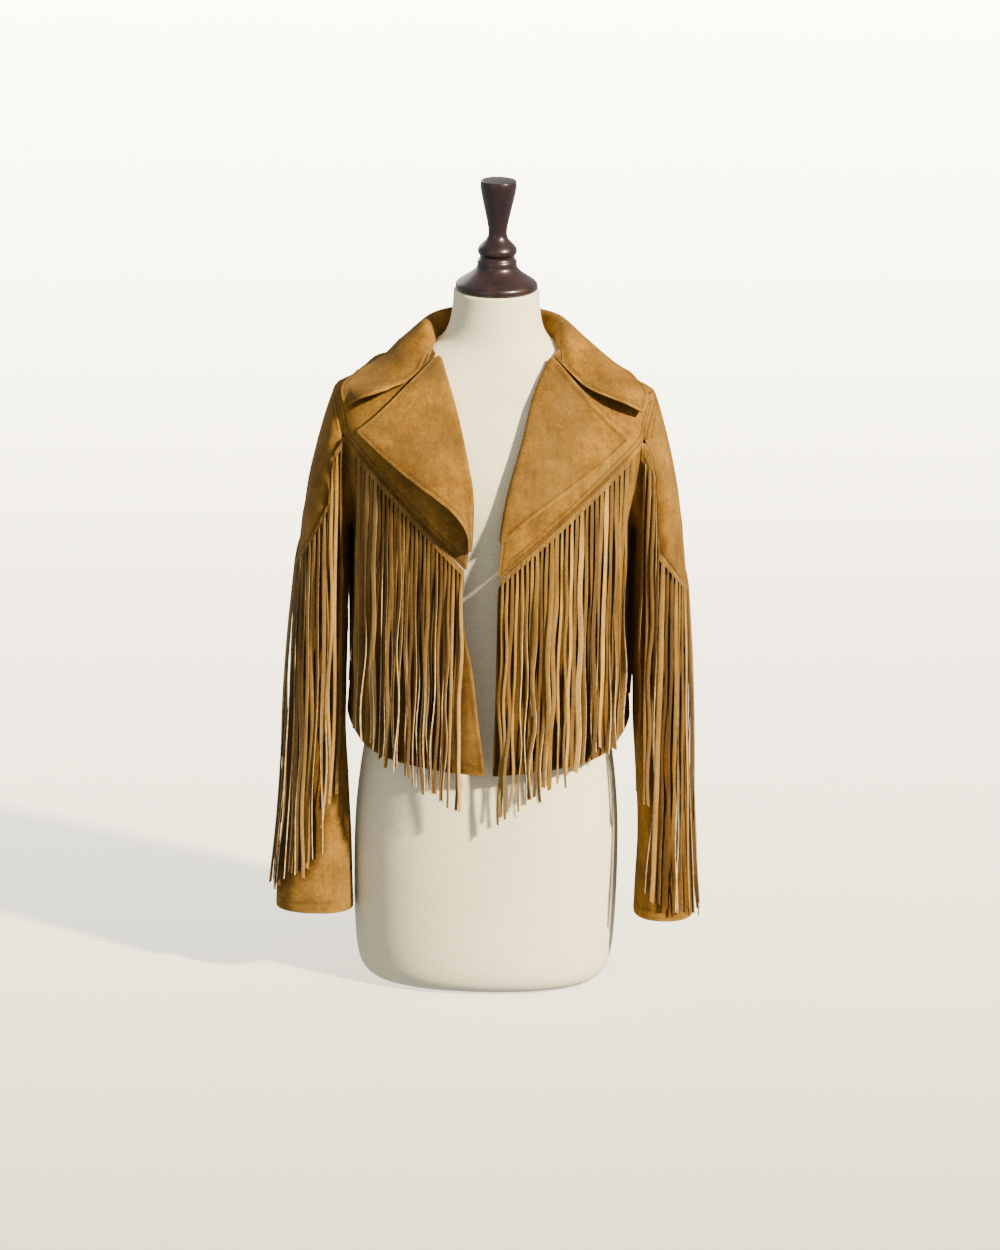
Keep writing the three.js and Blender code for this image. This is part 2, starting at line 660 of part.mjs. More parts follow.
function sleeveRingPoint(section, index, column, front) {
  const cuff = 1 - smooth(CUFF_TURN.to, CUFF_TURN.from, section.inZ);
  const angle = ringAngle(column, smooth(0, 5, index + 1));
  const inX = section.inX + front.cuffInset * cuff;
  const depth = section.depth + front.cuffDepth * cuff;
  const y = section.y + front.cuffForward * cuff;
  const bend = 2 / SLEEVE_POWER;
  const along = Math.sign(Math.cos(angle)) * Math.abs(Math.cos(angle)) ** bend;
  const deep = Math.sign(Math.sin(angle)) * Math.abs(Math.sin(angle)) ** bend;
  const middleX = (section.outX + inX) / 2;
  const middleZ = (section.outZ + section.inZ) / 2;
  const point = new THREE.Vector3(
    middleX + ((section.outX - inX) / 2) * along,
    y - depth * deep,
    middleZ + ((section.outZ - section.inZ) / 2) * along,
  );
  for (const fold of SLEEVE_FOLDS) {
    const away = ((angle / DEGREE - fold.angle + 540) % 360) - 180;
    const out = fold.depth * bell(away / fold.width) * bell((point.z - fold.z) / fold.height);
    point.x += out * Math.cos(angle);
    point.y -= out * Math.sin(angle);
  }
  return point;
}

/** One line down the sleeve, from the armhole to the cuff. */
function sleeveLine(column, front) {
  const line = SLEEVE_SECTIONS.map((section, i) => sleeveRingPoint(section, i, column, front));
  return new THREE.CatmullRomCurve3([armholeRing(column).point, ...line], false, 'centripetal');
}

const ARMHOLE_SHARE = 0.002;

/** A point on one line of the sleeve with its outward normal, the body's own at the armhole. */
function sleeveVertex(lines, column, share) {
  const { curve } = lines[column];
  const point = curve.getPoint(share);
  if (share < ARMHOLE_SHARE) return { point, normal: lines[column].armholeNormal };
  const after = lines[(column + 1) % SLEEVE_COLUMNS].curve.getPoint(share);
  const before = lines[(column + SLEEVE_COLUMNS - 1) % SLEEVE_COLUMNS].curve.getPoint(share);
  return { point, normal: after.sub(before).cross(curve.getTangent(share)).normalize() };
}

/** The share of a sleeve line at which it has come down to a height. */
const shareAtZ = (line, z) => solve((share) => z - line.getPoint(share).z, 0, 1);

const CAP_ROWS = 6;
const UPPER_ROWS = CAP_ROWS;
const LOWER_ROWS = 10;
const SIDE_NUDGE = 0.5;

/** The seam share of each line: the pointed seam over the cap, or the armhole below it. */
function sleeveLines(front) {
  const pointedSeam = reading(front.pointedSeam, 'share', 'z');
  return Array.from({ length: SLEEVE_COLUMNS }, (_, column) => {
    const curve = sleeveLine(column, front);
    const index = Math.min(column, SLEEVE_COLUMNS - column);
    const seam = shareAtZ(curve, pointedSeam(index / CAP_COLUMNS));
    return { column, curve, index, seam, armholeNormal: armholeRing(column).normal };
  });
}

/** A vertex moved sideways round the sleeve, towards the next line. */
function nudged(lines, column, share, amount) {
  const { point, normal } = sleeveVertex(lines, column, share);
  const neighbour = lines[(column + Math.sign(amount) + SLEEVE_COLUMNS) % SLEEVE_COLUMNS];
  const towards = neighbour.curve.getPoint(share).sub(point).normalize();
  return { point: point.addScaledVector(towards, Math.abs(amount)), normal };
}

const SEAM_SHARE_GAP = 0.0009;

function sleeveCap(front, lines) {
  const order = [];
  for (let c = CAP_COLUMNS; c >= -CAP_COLUMNS; c -= 1) {
    order.push((c + SLEEVE_COLUMNS) % SLEEVE_COLUMNS);
  }
  const nudges = order.map(() => 0);
  nudges[0] = -SIDE_NUDGE;
  nudges[nudges.length - 1] = SIDE_NUDGE;
  const vertices = steps(CAP_ROWS, 1, 0).flatMap((rise) => order.map((column, c) => {
    const share = (lines[column].seam - SEAM_SHARE_GAP) * rise;
    return nudges[c] ? nudged(lines, column, share, nudges[c]) : sleeveVertex(lines, column, share);
  }));
  const points = vertices.map((vertex) => vertex.point);
  const normals = vertices.map((vertex) => vertex.normal);
  const quads = gridQuads(CAP_ROWS, order.length - 1);
  return thicken(...spread(handed(front.hand, points, quads, normals), SUEDE));
}

/** The lower sleeve: a tube from the pointed seam down, open at the cuff, reaching up under the arm. */
function sleeve(front, lines) {
  const points = [];
  const normals = [];
  const names = new Map();
  const place = (row, column, { point, normal }) => {
    names.set(`${row} ${column}`, points.length);
    points.push(point);
    normals.push(normal);
  };
  const jointSeam = lines[CAP_COLUMNS].seam;
  const lastUnder = SLEEVE_COLUMNS - CAP_COLUMNS;
  for (let r = 0; r < UPPER_ROWS; r += 1) {
    for (let column = CAP_COLUMNS; column <= lastUnder; column += 1) {
      const share = (jointSeam * r) / UPPER_ROWS;
      if (column === CAP_COLUMNS) place(r, column, nudged(lines, column, share, SIDE_NUDGE));
      else if (column === lastUnder) place(r, column, nudged(lines, column, share, -SIDE_NUDGE));
      else place(r, column, sleeveVertex(lines, column, share));
    }
  }
  for (let r = 0; r <= LOWER_ROWS; r += 1) {
    for (const { column, index, seam } of lines) {
      const top = (index <= CAP_COLUMNS ? seam : jointSeam) + SEAM_SHARE_GAP;
      place(UPPER_ROWS + r, column, sleeveVertex(lines, column, mix(top, 1, r / LOWER_ROWS)));
    }
  }
  const quads = [];
  for (let r = 0; r < UPPER_ROWS + LOWER_ROWS; r += 1) {
    for (let column = 0; column < SLEEVE_COLUMNS; column += 1) {
      const next = (column + 1) % SLEEVE_COLUMNS;
      const corners = [[r, column], [r, next], [r + 1, next], [r + 1, column]];
      const quad = corners.map(([row, at]) => names.get(`${row} ${at}`));
      if (quad.every((corner) => corner !== undefined)) quads.push(quad);
    }
  }
  return thicken(...spread(handed(front.hand, points, quads, normals), SUEDE));
}

/** A strip with cut strands below it, as one comb of cloth. */
function fringe({ strands, hang, length, seed }) {
  const points = [];
  const quads = [];
  const gap = FRINGE.gapShare / 2;
  const topRow = [];
  const stripRow = [];
  for (let k = 0; k < strands; k += 1) {
    for (const share of [k + gap, k + 1 - gap]) {
      const q = share / strands;
      topRow.push(points.push(hang(q, 0, 0)) - 1);
      stripRow.push(points.push(hang(q, FRINGE.strip, 0)) - 1);
    }
  }
  for (let i = 0; i + 1 < topRow.length; i += 1) {
    quads.push([stripRow[i], stripRow[i + 1], topRow[i + 1], topRow[i]]);
  }
  for (let k = 0; k < strands; k += 1) {
    const middle = (k + 0.5) / strands;
    const width = points[stripRow[2 * k]].clone().sub(points[stripRow[2 * k + 1]]);
    const half = Math.hypot(width.x, width.y) / 2;
    const full = length(middle) * mix(FRINGE.shortest, FRINGE.longest, chance(seed + k));
    let [left, right] = [stripRow[2 * k], stripRow[2 * k + 1]];
    for (let i = 1; i <= FRINGE.segments; i += 1) {
      const share = i / FRINGE.segments;
      const drop = mix(FRINGE.strip, full, share);
      const wave = FRINGE.wave * chance(seed + 3 * k + i) * smooth(0, 0.5, share);
      const centre = hang(middle, drop, wave);
      const across = hang(middle + FRINGE.probe, drop, wave).sub(hang(middle - FRINGE.probe, drop, wave));
      const twist = FRINGE.twist * (chance(seed + 7 * k) - 0.5) * share;
      const heading = Math.atan2(across.y, across.x) + twist;
      const reach = new THREE.Vector3(Math.cos(heading), Math.sin(heading), 0).multiplyScalar(half);
      const newLeft = points.push(centre.clone().sub(reach)) - 1;
      const newRight = points.push(centre.clone().add(reach)) - 1;
      quads.push([newLeft, newRight, right, left]);
      [left, right] = [newLeft, newRight];
    }
  }
  return [points, quads];
}

const HANG_CLEAR = SUEDE + 1.5;
const HANG_STEP = 12;
const HANG_PAST_TIP = 1.25;
const SIDE_SHARE = 0.985;
const SEAM_DROP = 1.2;
const FRONT_FRINGE_OUTER_X = 162;
const BACK_FRINGE_OUTER_X = 173;
const BESIDE_ARMHOLE = { from: 162, depth: 70 };
const FRINGE_EDGE_INSET = 3;

/** How deep the jacket's outside lies at an x and height, or nothing past its side. */
function bodyDepthAt(x, z, facing) {
  const away = Math.abs(x);
  if (away >= body.side(z) * SIDE_SHARE) return 0;
  const turn = Math.sign(x || 1) * turnAtX(away, z);
  return Math.abs(aboveBody(facing === 'front' ? turn : Math.PI - turn, z, HANG_CLEAR).y);
}

/** A path that hangs from a yoke seam, straight down past the fullest depth on its way. */
function hangFromYoke({ line, fromX, toX, facing }) {
  const sign = facing === 'front' ? -1 : 1;
  return (q, drop, wave) => {
    const x = mix(fromX, toX, q);
    const root = line(Math.abs(x)) - SEAM_DROP;
    const lowest = root - drop * HANG_PAST_TIP;
    let depth = Math.abs(x) > BESIDE_ARMHOLE.from ? BESIDE_ARMHOLE.depth : 0;
    for (let z = root; z >= lowest; z -= HANG_STEP) {
      depth = Math.max(depth, bodyDepthAt(x, Math.max(z, hemHeight(0)), facing));
    }
    return new THREE.Vector3(x, sign * (depth + wave), root - drop);
  };
}

function frontFringe(front) {
  const { edge, line } = frontSide(front);
  const start = edge(front.seamStart) + FRINGE_EDGE_INSET;
  const { strands, centre, side } = FRINGE.front;
  const [points, quads] = fringe({
    strands,
    hang: hangFromYoke({ line, fromX: start, toX: FRONT_FRINGE_OUTER_X, facing: 'front' }),
    length: (q) => mix(centre, side, q),
    seed: 40 * (front.hand + 2),
  });
  const geometry = thicken(...spread(handed(front.hand, points, quads), FRINGE_SUEDE));
  return piece(`fringe_front_${front.name}`, geometry, fringeSuede);
}

function backFringe() {
  const { strands, centre, side } = FRINGE.back;
  const hang = hangFromYoke({
    line: backLine, fromX: BACK_FRINGE_OUTER_X, toX: -BACK_FRINGE_OUTER_X, facing: 'back',
  });
  const length = (q) => mix(centre, side, Math.abs(2 * q - 1));
  const [points, quads] = fringe({ strands, hang, length, seed: 300 });
  return piece('fringe_back', thicken(points, quads, FRINGE_SUEDE), fringeSuede);
}

const outerX = reading(SLEEVE_SECTIONS, 'outZ', 'outX');
const innerX = reading(SLEEVE_SECTIONS, 'inZ', 'inX');
const sleeveDepth = reading(SLEEVE_SECTIONS, 'outZ', 'depth');
const sleeveY = reading(SLEEVE_SECTIONS, 'outZ', 'y');
const SLEEVE_CLEAR = SUEDE + 1.2;
const CLEAR_POWER = 2.6;
const ARM_MIDDLE = { x: 205, y: -8 };
const FRONT_ARMHOLE_SHARES = [0.01, 0.35, 0.7];
const BACK_ARMHOLE_SHARES = [0.7, 0.4, 0.16];

/** Pushes a hanging point out of a sleeve's level section. */
function clearOfSleeve(point, front) {
  const cuff = 1 - smooth(CUFF_TURN.to, CUFF_TURN.from, point.z);
  const out = outerX(point.z);
  const inside = innerX(point.z) + front.cuffInset * cuff;
  const y = sleeveY(point.z) + front.cuffForward * cuff;
  const middle = (out + inside) / 2;
  const acrossShare = (point.x - middle) / ((out - inside) / 2 + SLEEVE_CLEAR);
  const deepShare = (point.y - y) / (sleeveDepth(point.z) + front.cuffDepth * cuff + SLEEVE_CLEAR);
  const sum = Math.abs(acrossShare) ** CLEAR_POWER + Math.abs(deepShare) ** CLEAR_POWER;
  const reach = sum ** (1 / CLEAR_POWER);
  if (reach >= 1) return point;
  return new THREE.Vector3(
    middle + (point.x - middle) / reach, y + (point.y - y) / reach, point.z,
  );
}

/** The seam that a sleeve's fringe hangs from: down the armhole, round the point, up again. */
function sleeveSeam(lines) {
  const onArmhole = (column, share) => lines[column].curve.getPoint(lines[column].seam * share);
  const seam = FRONT_ARMHOLE_SHARES.map((share) => onArmhole(CAP_COLUMNS, share));
  for (let c = CAP_COLUMNS; c >= -CAP_COLUMNS; c -= 1) {
    const { curve, seam: share } = lines[(c + SLEEVE_COLUMNS) % SLEEVE_COLUMNS];
    seam.push(curve.getPoint(share));
  }
  const behind = SLEEVE_COLUMNS - CAP_COLUMNS;
  seam.push(...BACK_ARMHOLE_SHARES.map((share) => onArmhole(behind, share)));
  const walked = [0];
  for (let i = 1; i < seam.length; i += 1) {
    const step = seam[i].clone().sub(seam[i - 1]);
    walked.push(walked[i - 1] + Math.hypot(step.x, step.y));
  }
  const rows = seam.map(({ x, y, z }, i) => ({ at: walked[i] / walked.at(-1), x, y, z }));
  return readings(rows, 'at', ['x', 'y', 'z']);
}

function sleeveFringe(front, lines) {
  const seam = sleeveSeam(lines);
  const hang = (q, drop, wave) => {
    const start = new THREE.Vector3(seam.x(q), seam.y(q), seam.z(q) - SEAM_DROP);
    const root = clearOfSleeve(clearOfBody(start, HANG_CLEAR), front);
    const point = clearOfSleeve(new THREE.Vector3(root.x, root.y, start.z - drop), front);
    const outward = new THREE.Vector3(point.x - ARM_MIDDLE.x, point.y - ARM_MIDDLE.y, 0).normalize();
    return point.addScaledVector(outward, wave);
  };
  const { strands, centre, side } = FRINGE.sleeve;
  const length = (q) => mix(centre, side, Math.abs(2 * q - 1));
  const [points, quads] = fringe({ strands, hang, length, seed: 90 * (front.hand + 5) });
  return thicken(...spread(handed(front.hand, points, quads), FRINGE_SUEDE));
}

function sleeves(front) {
  const lines = sleeveLines(front);
  return [
    piece(`sleeve_cap_${front.name}`, sleeveCap(front, lines), suede),
    piece(`sleeve_${front.name}`, sleeve(front, lines), suede),
    piece(`fringe_sleeve_${front.name}`, sleeveFringe(front, lines), fringeSuede),
  ];
}

const FORM_SEAT = { neckFrom: 790, neckTo: 812, probe: 0.01 };

/** The linen-covered form, closed by a flat base and a flat neck top. */
function dressForm() {
  const points = [];
  for (const { z } of FORM_SECTIONS) {
    const bare = smooth(FORM_SEAT.neckFrom, FORM_SEAT.neckTo, z);
    const seat = SEAT_GAP * smooth(YOKE_JOINT_Z, SHOULDER_TIP_Z, z) * (1 - bare);
    for (let c = 0; c < FORM_COLUMNS; c += 1) {
      const turn = (2 * Math.PI * c) / FORM_COLUMNS;
      const next = sectionPoint(form, turn + FORM_SEAT.probe, z);
      const across = next.sub(sectionPoint(form, turn - FORM_SEAT.probe, z));
      const up = sectionPoint(form, turn, z + 1).sub(sectionPoint(form, turn, z - 1));
      const normal = across.cross(up).normalize();
      points.push(sectionPoint(form, turn, z).addScaledVector(normal, -seat));
    }
  }
  const rows = FORM_SECTIONS.length - 1;
  const faces = gridQuads(rows, FORM_COLUMNS, true)
    .flatMap(([a, b, c, d]) => [[a, b, c], [a, c, d]]);
  const foot = points.push(new THREE.Vector3(0, 0, FORM_SECTIONS[0].z)) - 1;
  const top = points.push(new THREE.Vector3(0, 0, FORM_SECTIONS.at(-1).z)) - 1;
  const last = rows * FORM_COLUMNS;
  for (let c = 0; c < FORM_COLUMNS; c += 1) {
    const next = (c + 1) % FORM_COLUMNS;
    faces.push([foot, next, c], [top, last + c, last + next]);
  }
  return piece('form_torso', solid(points, faces), linen);
}

/** The turned wooden cap and finial on the neck. */
function neckCap() {
  const profile = CAP_PROFILE.map(({ r, z }) => new THREE.Vector2(r, z));
  const geometry = new THREE.LatheGeometry(profile, CAP_SEGMENTS);
  geometry.rotateX(SIDE);
  const cap = piece('neck_cap', geometry, darkWood);
  cap.position.z = FORM_SECTIONS.at(-1).z + SEAM_GAP;
  return cap;
}

const jacket = new THREE.Group();
jacket.add(dressForm(), neckCap(), ...backPanels(), collar());
for (const front of FRONTS) {
  jacket.add(...frontPanels(front), lapel(front), ...sleeves(front), frontFringe(front));
}
jacket.add(backFringe());

// The origin is the centre of the footprint box, at the base
const box = new THREE.Box3().setFromObject(jacket);
const centre = box.getCenter(new THREE.Vector3());
jacket.position.set(-centre.x, -centre.y, -box.min.z);

export default jacket;
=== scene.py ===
"""A fringed suede jacket on a dress form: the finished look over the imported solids."""

import math
import random

import bmesh
import bpy
import numpy as np
from mathutils import Matrix, Vector, noise
from mathutils.bvhtree import BVHTree
from mathutils.kdtree import KDTree


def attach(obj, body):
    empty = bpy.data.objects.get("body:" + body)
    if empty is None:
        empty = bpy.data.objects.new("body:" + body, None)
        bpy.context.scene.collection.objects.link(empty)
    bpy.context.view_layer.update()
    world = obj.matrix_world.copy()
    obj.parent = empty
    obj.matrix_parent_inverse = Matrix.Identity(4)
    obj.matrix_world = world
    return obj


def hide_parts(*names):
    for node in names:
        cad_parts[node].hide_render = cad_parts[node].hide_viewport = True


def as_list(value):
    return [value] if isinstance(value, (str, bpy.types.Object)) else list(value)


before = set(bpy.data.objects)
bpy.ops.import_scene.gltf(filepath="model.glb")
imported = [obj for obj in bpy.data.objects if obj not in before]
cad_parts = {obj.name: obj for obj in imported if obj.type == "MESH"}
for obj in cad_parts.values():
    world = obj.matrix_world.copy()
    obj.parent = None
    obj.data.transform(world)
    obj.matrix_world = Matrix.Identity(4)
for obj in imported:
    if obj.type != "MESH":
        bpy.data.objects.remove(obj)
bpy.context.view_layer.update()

MM = 0.001
MIDDLE_Y = 14 * MM
UP = Vector((0, 0, 1))


def held_share(value):
    """A number held between 0 and 1."""
    return min(1.0, max(0.0, value))


# Camera: far off, looking down a little and leaning a little
AIM = Vector((0.0116, 0.014, 0.435))
DISTANCE = 20.0
ELEVATION = math.radians(15)
LEAN = math.radians(1.1)
SENSOR_HEIGHT = 36
FOCAL_LENGTH = 480
FAR_LIMIT = 100

camera_data = bpy.data.cameras.new("photo_camera")
camera_data.sensor_fit = "VERTICAL"
camera_data.sensor_height = SENSOR_HEIGHT
camera_data.lens = FOCAL_LENGTH
camera_data.clip_end = FAR_LIMIT
camera = bpy.data.objects.new("photo_camera", camera_data)
bpy.context.scene.collection.objects.link(camera)
place = AIM + DISTANCE * Vector((0, -math.cos(ELEVATION), math.sin(ELEVATION)))
tilt = Matrix.Rotation(math.pi / 2 - ELEVATION, 4, "X") @ Matrix.Rotation(LEAN, 4, "Z")
camera.matrix_world = Matrix.Translation(place) @ tilt
bpy.context.scene.camera = camera


# Materials
SUEDE_DARK = (0.085, 0.039, 0.007)
SUEDE_MIDDLE = (0.165, 0.076, 0.01)
SUEDE_LIGHT = (0.265, 0.13, 0.018)
# Paler suede: the colour of the scuffs, and a painted highlight along the panel edges
SUEDE_SCUFF_AND_HIGHLIGHT = (0.36, 0.205, 0.052)
SUEDE_OLIVE = (0.13, 0.078, 0.022)
# Painted shade in the stitched grooves
GROOVE_SHADE = (0.6, 0.56, 0.5)
# Painted shade on the cloth under the strands
SHADE_UNDER_STRANDS = (0.42, 0.38, 0.34)
NAP = {"Roughness": 0.97, "Specular_IOR_Level": 0.08, "Sheen_Roughness": 0.5,
       "Sheen_Tint": (0.8, 0.55, 0.22, 1)}


def grey(value):
    return (value, value, value)


class Nodes:
    """A short way to write a material's node tree."""

    def __init__(self, name):
        self.material = bpy.data.materials.new(name)
        self.material.use_nodes = True
        self.tree = self.material.node_tree
        self.shader = self.tree.nodes["Principled BSDF"]
        self.place = self.add("ShaderNodeTexCoord").outputs["Object"]

    def add(self, kind, **values):
        node = self.tree.nodes.new(kind)
        for key, value in values.items():
            setattr(node, key, value)
        return node

    def link(self, source, target):
        self.tree.links.new(source, target)

    def stretched(self, scale):
        node = self.add("ShaderNodeMapping")
        node.inputs["Scale"].default_value = scale
        self.link(self.place, node.inputs["Vector"])
        return node.outputs["Vector"]

    def noise(self, scale, detail=4, rough=0.55, stretch=None):
        node = self.add("ShaderNodeTexNoise")
        node.inputs["Scale"].default_value = scale
        node.inputs["Detail"].default_value = detail
        node.inputs["Roughness"].default_value = rough
        self.link(self.stretched(stretch) if stretch else self.place, node.inputs["Vector"])
        return node.outputs["Fac"]

    def ramp(self, value, *stops):
        node = self.add("ShaderNodeValToRGB")
        elements = node.color_ramp.elements
        while len(elements) < len(stops):
            elements.new(0.5)
        for element, (position, colour) in zip(elements, stops):
            element.position = position
            element.color = (*colour, 1)
        self.link(value, node.inputs["Fac"])
        return node.outputs["Color"]

    def blend(self, kind, share, first, second):
        node = self.add("ShaderNodeMix", data_type="RGBA", blend_type=kind)
        for socket, value in ((node.inputs[0], share), (node.inputs[6], first), (node.inputs[7], second)):
            if isinstance(value, bpy.types.NodeSocket):
                self.link(value, socket)
            elif isinstance(value, tuple):
                socket.default_value = (*value, 1)
            else:
                socket.default_value = value
        return node.outputs[2]

    def range(self, value, low, high, to_low=0.0, to_high=1.0):
        node = self.add("ShaderNodeMapRange")
        for key, number in (("From Min", low), ("From Max", high), ("To Min", to_low), ("To Max", to_high)):
            node.inputs[key].default_value = number
        self.link(value, node.inputs["Value"])
        return node.outputs["Result"]

    def attribute(self, name):
        return self.add("ShaderNodeAttribute", attribute_name=name).outputs["Fac"]

    def bumps(self, *layers):
        below = None
        for height, distance, strength in layers:
            node = self.add("ShaderNodeBump")
            node.inputs["Distance"].default_value = distance
            node.inputs["Strength"].default_value = strength
            self.link(height, node.inputs["Height"])
            if below is not None:
                self.link(below, node.inputs["Normal"])
            below = node.outputs["Normal"]
        self.link(below, self.shader.inputs["Normal"])

    def finish(self, colour, **numbers):
        self.link(colour, self.shader.inputs["Base Color"])
        for key, value in numbers.items():
            self.shader.inputs[key.replace("_", " ")].default_value = value
        return self.material


def suede_material():
    """Napped suede: brushed and rubbed patches, short fibres, a painted highlight along the edges, painted
    shade in the stitched grooves and under the strands.
    """
    n = Nodes("suede")
    patches = n.ramp(n.noise(9, 6, 0.62), (0.34, SUEDE_DARK), (0.5, SUEDE_MIDDLE), (0.66, SUEDE_LIGHT))
    rubbed = n.noise(34, 6, 0.68)
    colour = n.blend("OVERLAY", 0.5, patches, n.ramp(rubbed, (0.32, grey(0.22)), (0.68, grey(0.78))))
    strokes = n.noise(70, 5, 0.6, stretch=(1.6, 1.6, 0.45))
    colour = n.blend("OVERLAY", 0.4, colour, n.ramp(strokes, (0.3, grey(0.26)), (0.7, grey(0.74))))
    fibres = n.noise(330, 5, 0.75)
    colour = n.blend("MULTIPLY", 0.7, colour, n.ramp(fibres, (0.34, grey(0.45)), (0.62, grey(1.12))))
    olive = n.ramp(n.noise(13, 5, 0.6, stretch=(1, 1, 0.8)), (0.44, grey(0)), (0.66, grey(0.5)))
    colour = n.blend("MIX", olive, colour, SUEDE_OLIVE)
    scuffs = n.ramp(n.noise(16, 7, 0.74, stretch=(1, 1, 0.6)), (0.6, grey(0)), (0.76, grey(0.4)))
    colour = n.blend("MIX", scuffs, colour, SUEDE_SCUFF_AND_HIGHLIGHT)
    # Paler within a few millimetres of each panel edge: a painted edge highlight
    edge_highlight = n.range(n.attribute("rim"), 0.0, 1.0)
    speckled = n.blend("MULTIPLY", 1.0, n.ramp(n.noise(60, 3), (0.35, grey(0)), (0.65, grey(1))),
                       n.ramp(edge_highlight, (0.45, grey(0)), (1.0, grey(0.55))))
    colour = n.blend("MIX", speckled, colour, SUEDE_SCUFF_AND_HIGHLIGHT)
    # Painted shade: the colour is darkened along the stitched grooves, which are also pressed in
    groove = n.ramp(n.attribute("groove"), (0.0, grey(1)), (1.0, GROOVE_SHADE))
    colour = n.blend("MULTIPLY", 1.0, colour, groove)
    # Painted shade: the cloth is darkened under and beside the strands
    under_strand_shade = n.ramp(n.attribute("strand_shade"), (0.0, grey(1)), (1.0, SHADE_UNDER_STRANDS))
    colour = n.blend("MULTIPLY", 1.0, colour, under_strand_shade)
    n.bumps((n.noise(30, 5, 0.6), 0.0016, 0.4), (n.noise(420, 4, 0.7), 0.0006, 0.6))
    return n.finish(colour, Sheen_Weight=0.08, **NAP)


def strand_material():
    """Cut strands of the same suede, no two quite the same tone, the inner layer's strands darker with
    painted shade.
    """
    n = Nodes("fringe_suede")
    own = n.ramp(n.attribute("tone"), (0.0, (0.062, 0.033, 0.011)), (0.35, (0.135, 0.071, 0.018)),
                 (0.7, (0.225, 0.122, 0.028)), (1.0, (0.36, 0.21, 0.062)))
    rubbed = n.noise(40, 5, 0.65, stretch=(1, 1, 0.25))
    colour = n.blend("OVERLAY", 0.7, own, n.ramp(rubbed, (0.3, grey(0.2)), (0.7, grey(0.8))))
    fibres = n.noise(330, 4, 0.75)
    colour = n.blend("MULTIPLY", 0.6, colour, n.ramp(fibres, (0.34, grey(0.5)), (0.62, grey(1.1))))
    n.bumps((n.noise(420, 4, 0.7), 0.0005, 0.5))
    return n.finish(colour, Sheen_Weight=0.06, **NAP)


def cut_edge_material():
    """The raw cut side of a strand: pale, with darker fibres."""
    n = Nodes("cut_suede_edge")
    colour = n.ramp(n.noise(120, 4, 0.6), (0.3, (0.26, 0.16, 0.06)), (0.5, (0.48, 0.36, 0.19)),
                    (0.7, (0.68, 0.57, 0.36)))
    n.bumps((n.noise(600, 3, 0.7), 0.0003, 0.5))
    return n.finish(colour, Roughness=0.95, Specular_IOR_Level=0.15)


def linen_material():
    """Tight cream linen: a plain weave with thicker threads here and there."""
    n = Nodes("form_linen")
    warp = n.noise(900, 2, 0.5, stretch=(1, 1, 0.08))
    weft = n.noise(900, 2, 0.5, stretch=(0.08, 0.08, 1))
    threads = [n.ramp(way, (0.3, grey(0.82)), (0.65, grey(1))) for way in (warp, weft)]
    weave = n.blend("MULTIPLY", 1.0, *threads)
    tone = n.ramp(n.noise(5, 3), (0.3, (0.8, 0.72, 0.46)), (0.7, (0.88, 0.81, 0.55)))
    colour = n.blend("MULTIPLY", 0.6, tone, weave)
    n.bumps((warp, 0.0005, 0.4), (weft, 0.0005, 0.4))
    return n.finish(colour, Roughness=0.88, Specular_IOR_Level=0.25, Sheen_Weight=0.12)


def wood_material():
    """Dark polished mahogany with a faint grain along its height."""
    n = Nodes("dark_wood")
    grain = n.noise(60, 5, 0.6, stretch=(1, 1, 0.12))
    colour = n.ramp(grain, (0.3, (0.006, 0.0022, 0.002)), (0.55, (0.014, 0.0042, 0.0034)),
                    (0.75, (0.032, 0.009, 0.006)))
    n.bumps((grain, 0.0003, 0.15))
    return n.finish(colour, Roughness=0.34, Specular_IOR_Level=0.4, Coat_Weight=0.25, Coat_Roughness=0.15)


def thread_material():
    """Brown waxed thread with a fine twist."""
    n = Nodes("sewing_thread")
    twist = n.noise(1400, 2)
    colour = n.ramp(twist, (0.3, (0.07, 0.035, 0.011)), (0.7, (0.15, 0.08, 0.028)))
    return n.finish(colour, Roughness=0.7)


suede = suede_material()
strand_suede = strand_material()
cut_suede = cut_edge_material()
linen = linen_material()
wood = wood_material()
thread = thread_material()


# Fields: which way is out from each kind of piece
BODY_HALF_WIDTH = 180 * MM
BODY_HALF_DEPTH = 120 * MM
SHOULDER_START = 690 * MM
SHOULDER_SLOPE = 900
POINT_START = 95 * MM
POINT_REACH = 30 * MM
ARM_TOP = 700 * MM
ARM_DROP = 600 * MM
ARM_MIDDLE_X = 200 * MM
ARM_SPREAD = 12 * MM
ARM_FORWARD = 20 * MM
ARM_RADIUS_IN_MM = 42


def out_of_body(p):
    """Out of an upright oval, and upward over the shoulders."""
    rise = max(0.0, p.z - SHOULDER_START) * SHOULDER_SLOPE
    return Vector((p.x / BODY_HALF_WIDTH ** 2, (p.y - MIDDLE_Y) / BODY_HALF_DEPTH ** 2, rise)).normalized()


def out_of_collar(p):
    """Up and out round the neck, and forward at the two points."""
    flat = Vector((p.x, p.y - MIDDLE_Y, 0)).normalized()
    point = held_share((abs(p.x) - POINT_START) / POINT_REACH) if p.y < MIDDLE_Y else 0.0
    return (flat * 0.6 + Vector((0, -1.2 * point, 1 - 0.6 * point))).normalized()


def out_of_sleeve(p):
    """Out of an arm that spreads and comes forward a little on its way down."""
    drop = held_share((ARM_TOP - p.z) / ARM_DROP)
    middle_x = math.copysign(ARM_MIDDLE_X + ARM_SPREAD * drop, p.x)
    return (p - Vector((middle_x, MIDDLE_Y - ARM_FORWARD * drop, p.z))).normalized()


